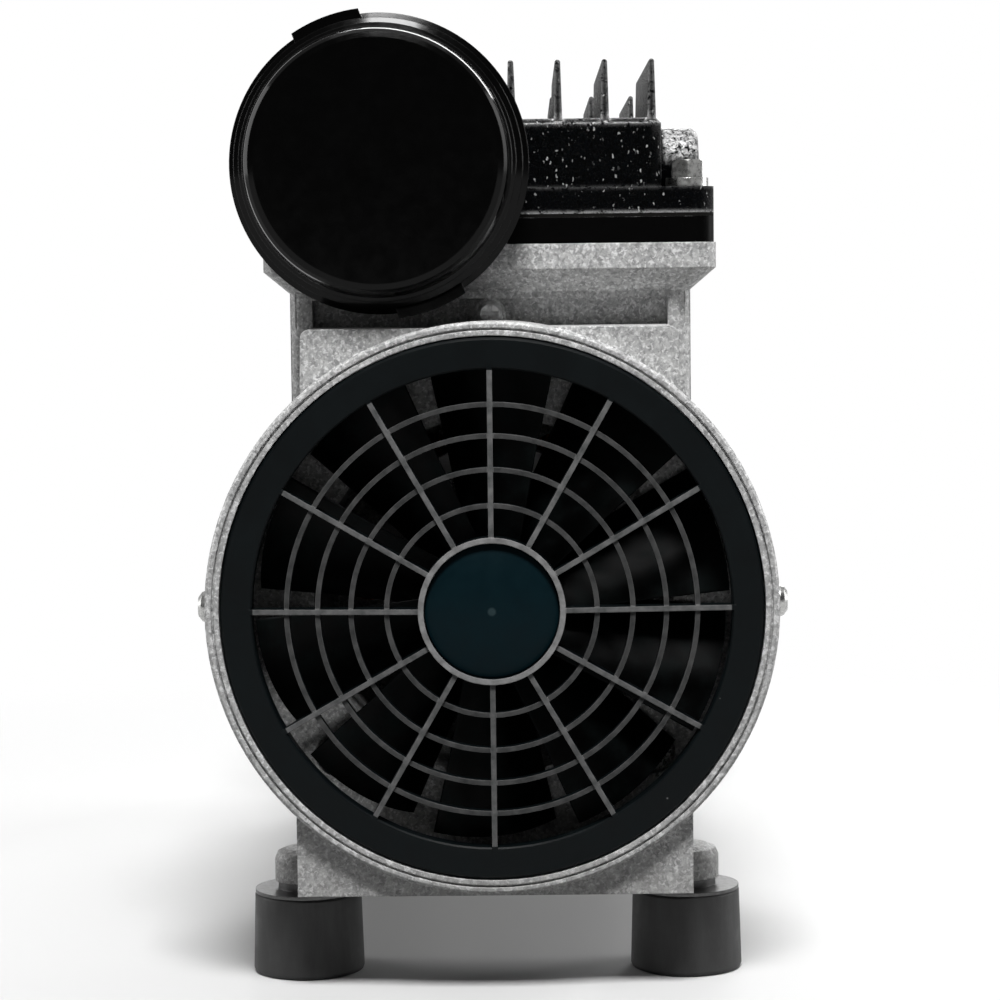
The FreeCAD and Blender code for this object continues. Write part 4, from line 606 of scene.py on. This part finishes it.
def outlet_thread(materials, record):
    """Pipe thread in the open outlet: one ridge that winds down the bore."""
    outlet = [mount for mount in record["mounts"] if mount["name"] == "outlet"][0]
    radius = outlet["dims"]["r_mm"] * mm
    depth = outlet["dims"]["length_mm"] * mm
    last_step = int(thread_share * depth / thread_pitch) * thread_steps
    points = []
    faces = [(0, 1, 2, 3)]
    for step in range(last_step + 1):
        angle = 2 * math.pi * step / thread_steps
        along = -thread_pitch * (thread_start + step / thread_steps)
        taper = min(1.0, step / thread_steps, (last_step - step) / thread_steps)
        crest = radius - thread_height * taper
        section = (
            (radius, -thread_root), (crest, -thread_crest),
            (crest, thread_crest), (radius, thread_root),
        )
        for reach, shift in section:
            points.append((
                along + shift * thread_pitch, reach * math.cos(angle), reach * math.sin(angle)
            ))
        if step:
            near = 4 * (step - 1)
            far = 4 * step
            for index in range(4):
                following = (index + 1) % 4
                faces.append((near + index, near + following, far + following, far + index))
    last = len(points)
    faces.append((last - 4, last - 3, last - 2, last - 1))
    ridge = new_piece("outlet_thread", points, faces, outlet["pos_m"])
    finish_piece(ridge, materials["cut_aluminium"])


# Floor, light and camera

def floor():
    """Pale floor that keeps the shadow near the object and fades into the white sky."""
    mesh = bpy.data.meshes.new("floor")
    sides = ((-1, -1), (1, -1), (1, 1), (-1, 1))
    corners = [(x * floor_half, y * floor_half, 0) for x, y in sides]
    mesh.from_pydata(corners, [], [(0, 1, 2, 3)])
    piece = bpy.data.objects.new("floor", mesh)
    bpy.context.scene.collection.objects.link(piece)
    g = Graph("floor")
    faint = g.noise(60.0, 2.0)
    path = g.add("ShaderNodeLightPath")
    thrown = path.outputs["Is Diffuse Ray"]
    pale = g.mix(faint, grey(floor_seen), grey(floor_seen * 1.03))
    g.set(
        Base_Color=g.mix(thrown, pale, grey(floor_bounce)),
        Roughness=g.ramp(faint, 0.3, 0.7, 0.75, 0.85),
        Specular_IOR_Level=0.2,
    )
    flat = g.vector("MULTIPLY", g.place, (1, 1, 0))
    fade = g.ramp(g.vector("LENGTH", flat), shadow_reach, shadow_end)
    seen = g.maths("MAXIMUM", path.outputs["Is Camera Ray"], path.outputs["Is Glossy Ray"])
    seen = g.maths("MAXIMUM", seen, path.outputs["Is Transmission Ray"])
    white = g.add("ShaderNodeEmission")
    white.inputs["Color"].default_value = grey(1.0)
    blend = g.add("ShaderNodeMixShader")
    g.join(g.maths("MULTIPLY", fade, seen), blend.inputs[0])
    g.join(g.shader.outputs[0], blend.inputs[1])
    g.join(white.outputs[0], blend.inputs[2])
    output = g.tree.nodes["Material Output"]
    g.join(blend.outputs[0], output.inputs["Surface"])
    mesh.materials.append(g.material)


def sky():
    """White for the camera; for the object, a soft room that reflects brighter behind."""
    world = bpy.data.worlds.new("studio")
    bpy.context.scene.world = world
    world.use_nodes = True
    tree = world.node_tree
    background = tree.nodes["Background"]
    add = tree.nodes.new
    link = tree.links.new
    coordinates = add("ShaderNodeTexCoord")
    parts = add("ShaderNodeSeparateXYZ")
    link(coordinates.outputs["Generated"], parts.inputs[0])
    change = add("ShaderNodeMapRange")
    link(parts.outputs["Y"], change.inputs["Value"])
    for name, value in (
        ("From Min", -0.6), ("From Max", 0.6), ("To Min", sky_front), ("To Max", sky_back)
    ):
        change.inputs[name].default_value = value
    path = add("ShaderNodeLightPath")
    shown = add("ShaderNodeMix")
    link(path.outputs["Is Glossy Ray"], shown.inputs["Factor"])
    shown.inputs["A"].default_value = sky_for_diffuse
    link(change.outputs[0], shown.inputs["B"])
    seen = add("ShaderNodeMath")
    seen.operation = "MAXIMUM"
    link(path.outputs["Is Camera Ray"], seen.inputs[0])
    link(path.outputs["Is Transmission Ray"], seen.inputs[1])
    level = add("ShaderNodeMix")
    link(seen.outputs[0], level.inputs["Factor"])
    link(shown.outputs["Result"], level.inputs["A"])
    level.inputs["B"].default_value = 1.0
    link(level.outputs["Result"], background.inputs["Strength"])
    background.inputs["Color"].default_value = grey(1.0)


def softbox(name, place, aim, width, height, power):
    """Rectangular lamp that points at a spot."""
    data = bpy.data.lights.new(name, "AREA")
    data.shape = "RECTANGLE"
    data.size = width
    data.size_y = height
    data.energy = power
    lamp = bpy.data.objects.new(name, data)
    lamp.location = place
    lamp.rotation_mode = "QUATERNION"
    lamp.rotation_quaternion = (Vector(aim) - Vector(place)).to_track_quat("-Z", "Y")
    bpy.context.scene.collection.objects.link(lamp)


def lights():
    """Main light high in front, with weaker ones on the sides, behind and above."""
    middle = (0, 0, 0.11)
    softbox("key", (0.06, -0.93, 1.59), middle, 0.50, 0.42, 44.0)
    softbox("top", (0.1, 0.2, 1.3), middle, 1.0, 1.0, 3.0)
    softbox("right", (1.25, 0.30, 0.55), middle, 0.6, 0.9, 8.0)
    softbox("left", (-1.25, 0.30, 0.55), middle, 0.6, 0.9, 6.0)
    softbox("back", (0.2, 1.25, 0.75), middle, 0.9, 0.7, 11.0)


def camera():
    """The photograph's view."""
    data = bpy.data.cameras.new("camera")
    data.sensor_width = sensor_width
    data.lens = sensor_width * focal_pixels / 1000
    data.clip_start = 0.05
    data.clip_end = 50.0
    piece = bpy.data.objects.new("camera", data)
    bpy.context.scene.collection.objects.link(piece)
    turn = Matrix.Rotation(math.radians(camera_turn), 4, "Z")
    tilt = Matrix.Rotation(math.radians(90 - camera_tilt), 4, "X")
    roll = Matrix.Rotation(math.radians(camera_roll), 4, "Z")
    piece.matrix_world = Matrix.Translation(camera_place) @ turn @ tilt @ roll
    bpy.context.scene.camera = piece


with open("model.json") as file:
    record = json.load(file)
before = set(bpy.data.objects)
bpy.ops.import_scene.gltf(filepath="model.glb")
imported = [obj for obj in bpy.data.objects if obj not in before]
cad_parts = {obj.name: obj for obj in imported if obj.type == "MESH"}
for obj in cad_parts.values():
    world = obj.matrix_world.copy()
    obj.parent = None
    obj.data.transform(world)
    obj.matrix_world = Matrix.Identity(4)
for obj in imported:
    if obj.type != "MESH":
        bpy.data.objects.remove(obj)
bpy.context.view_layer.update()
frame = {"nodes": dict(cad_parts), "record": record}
shaft_height = sum(corner[2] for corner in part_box("shaft")) / 2
head_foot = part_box("front_cylinder_head")[0][2]
materials = make_materials()
dress(frame["nodes"], materials, frame["record"])
pleated_element(materials)
outlet_thread(materials, frame["record"])
floor()
sky()
lights()
camera()
bpy.context.scene.view_settings.view_transform = "Standard"
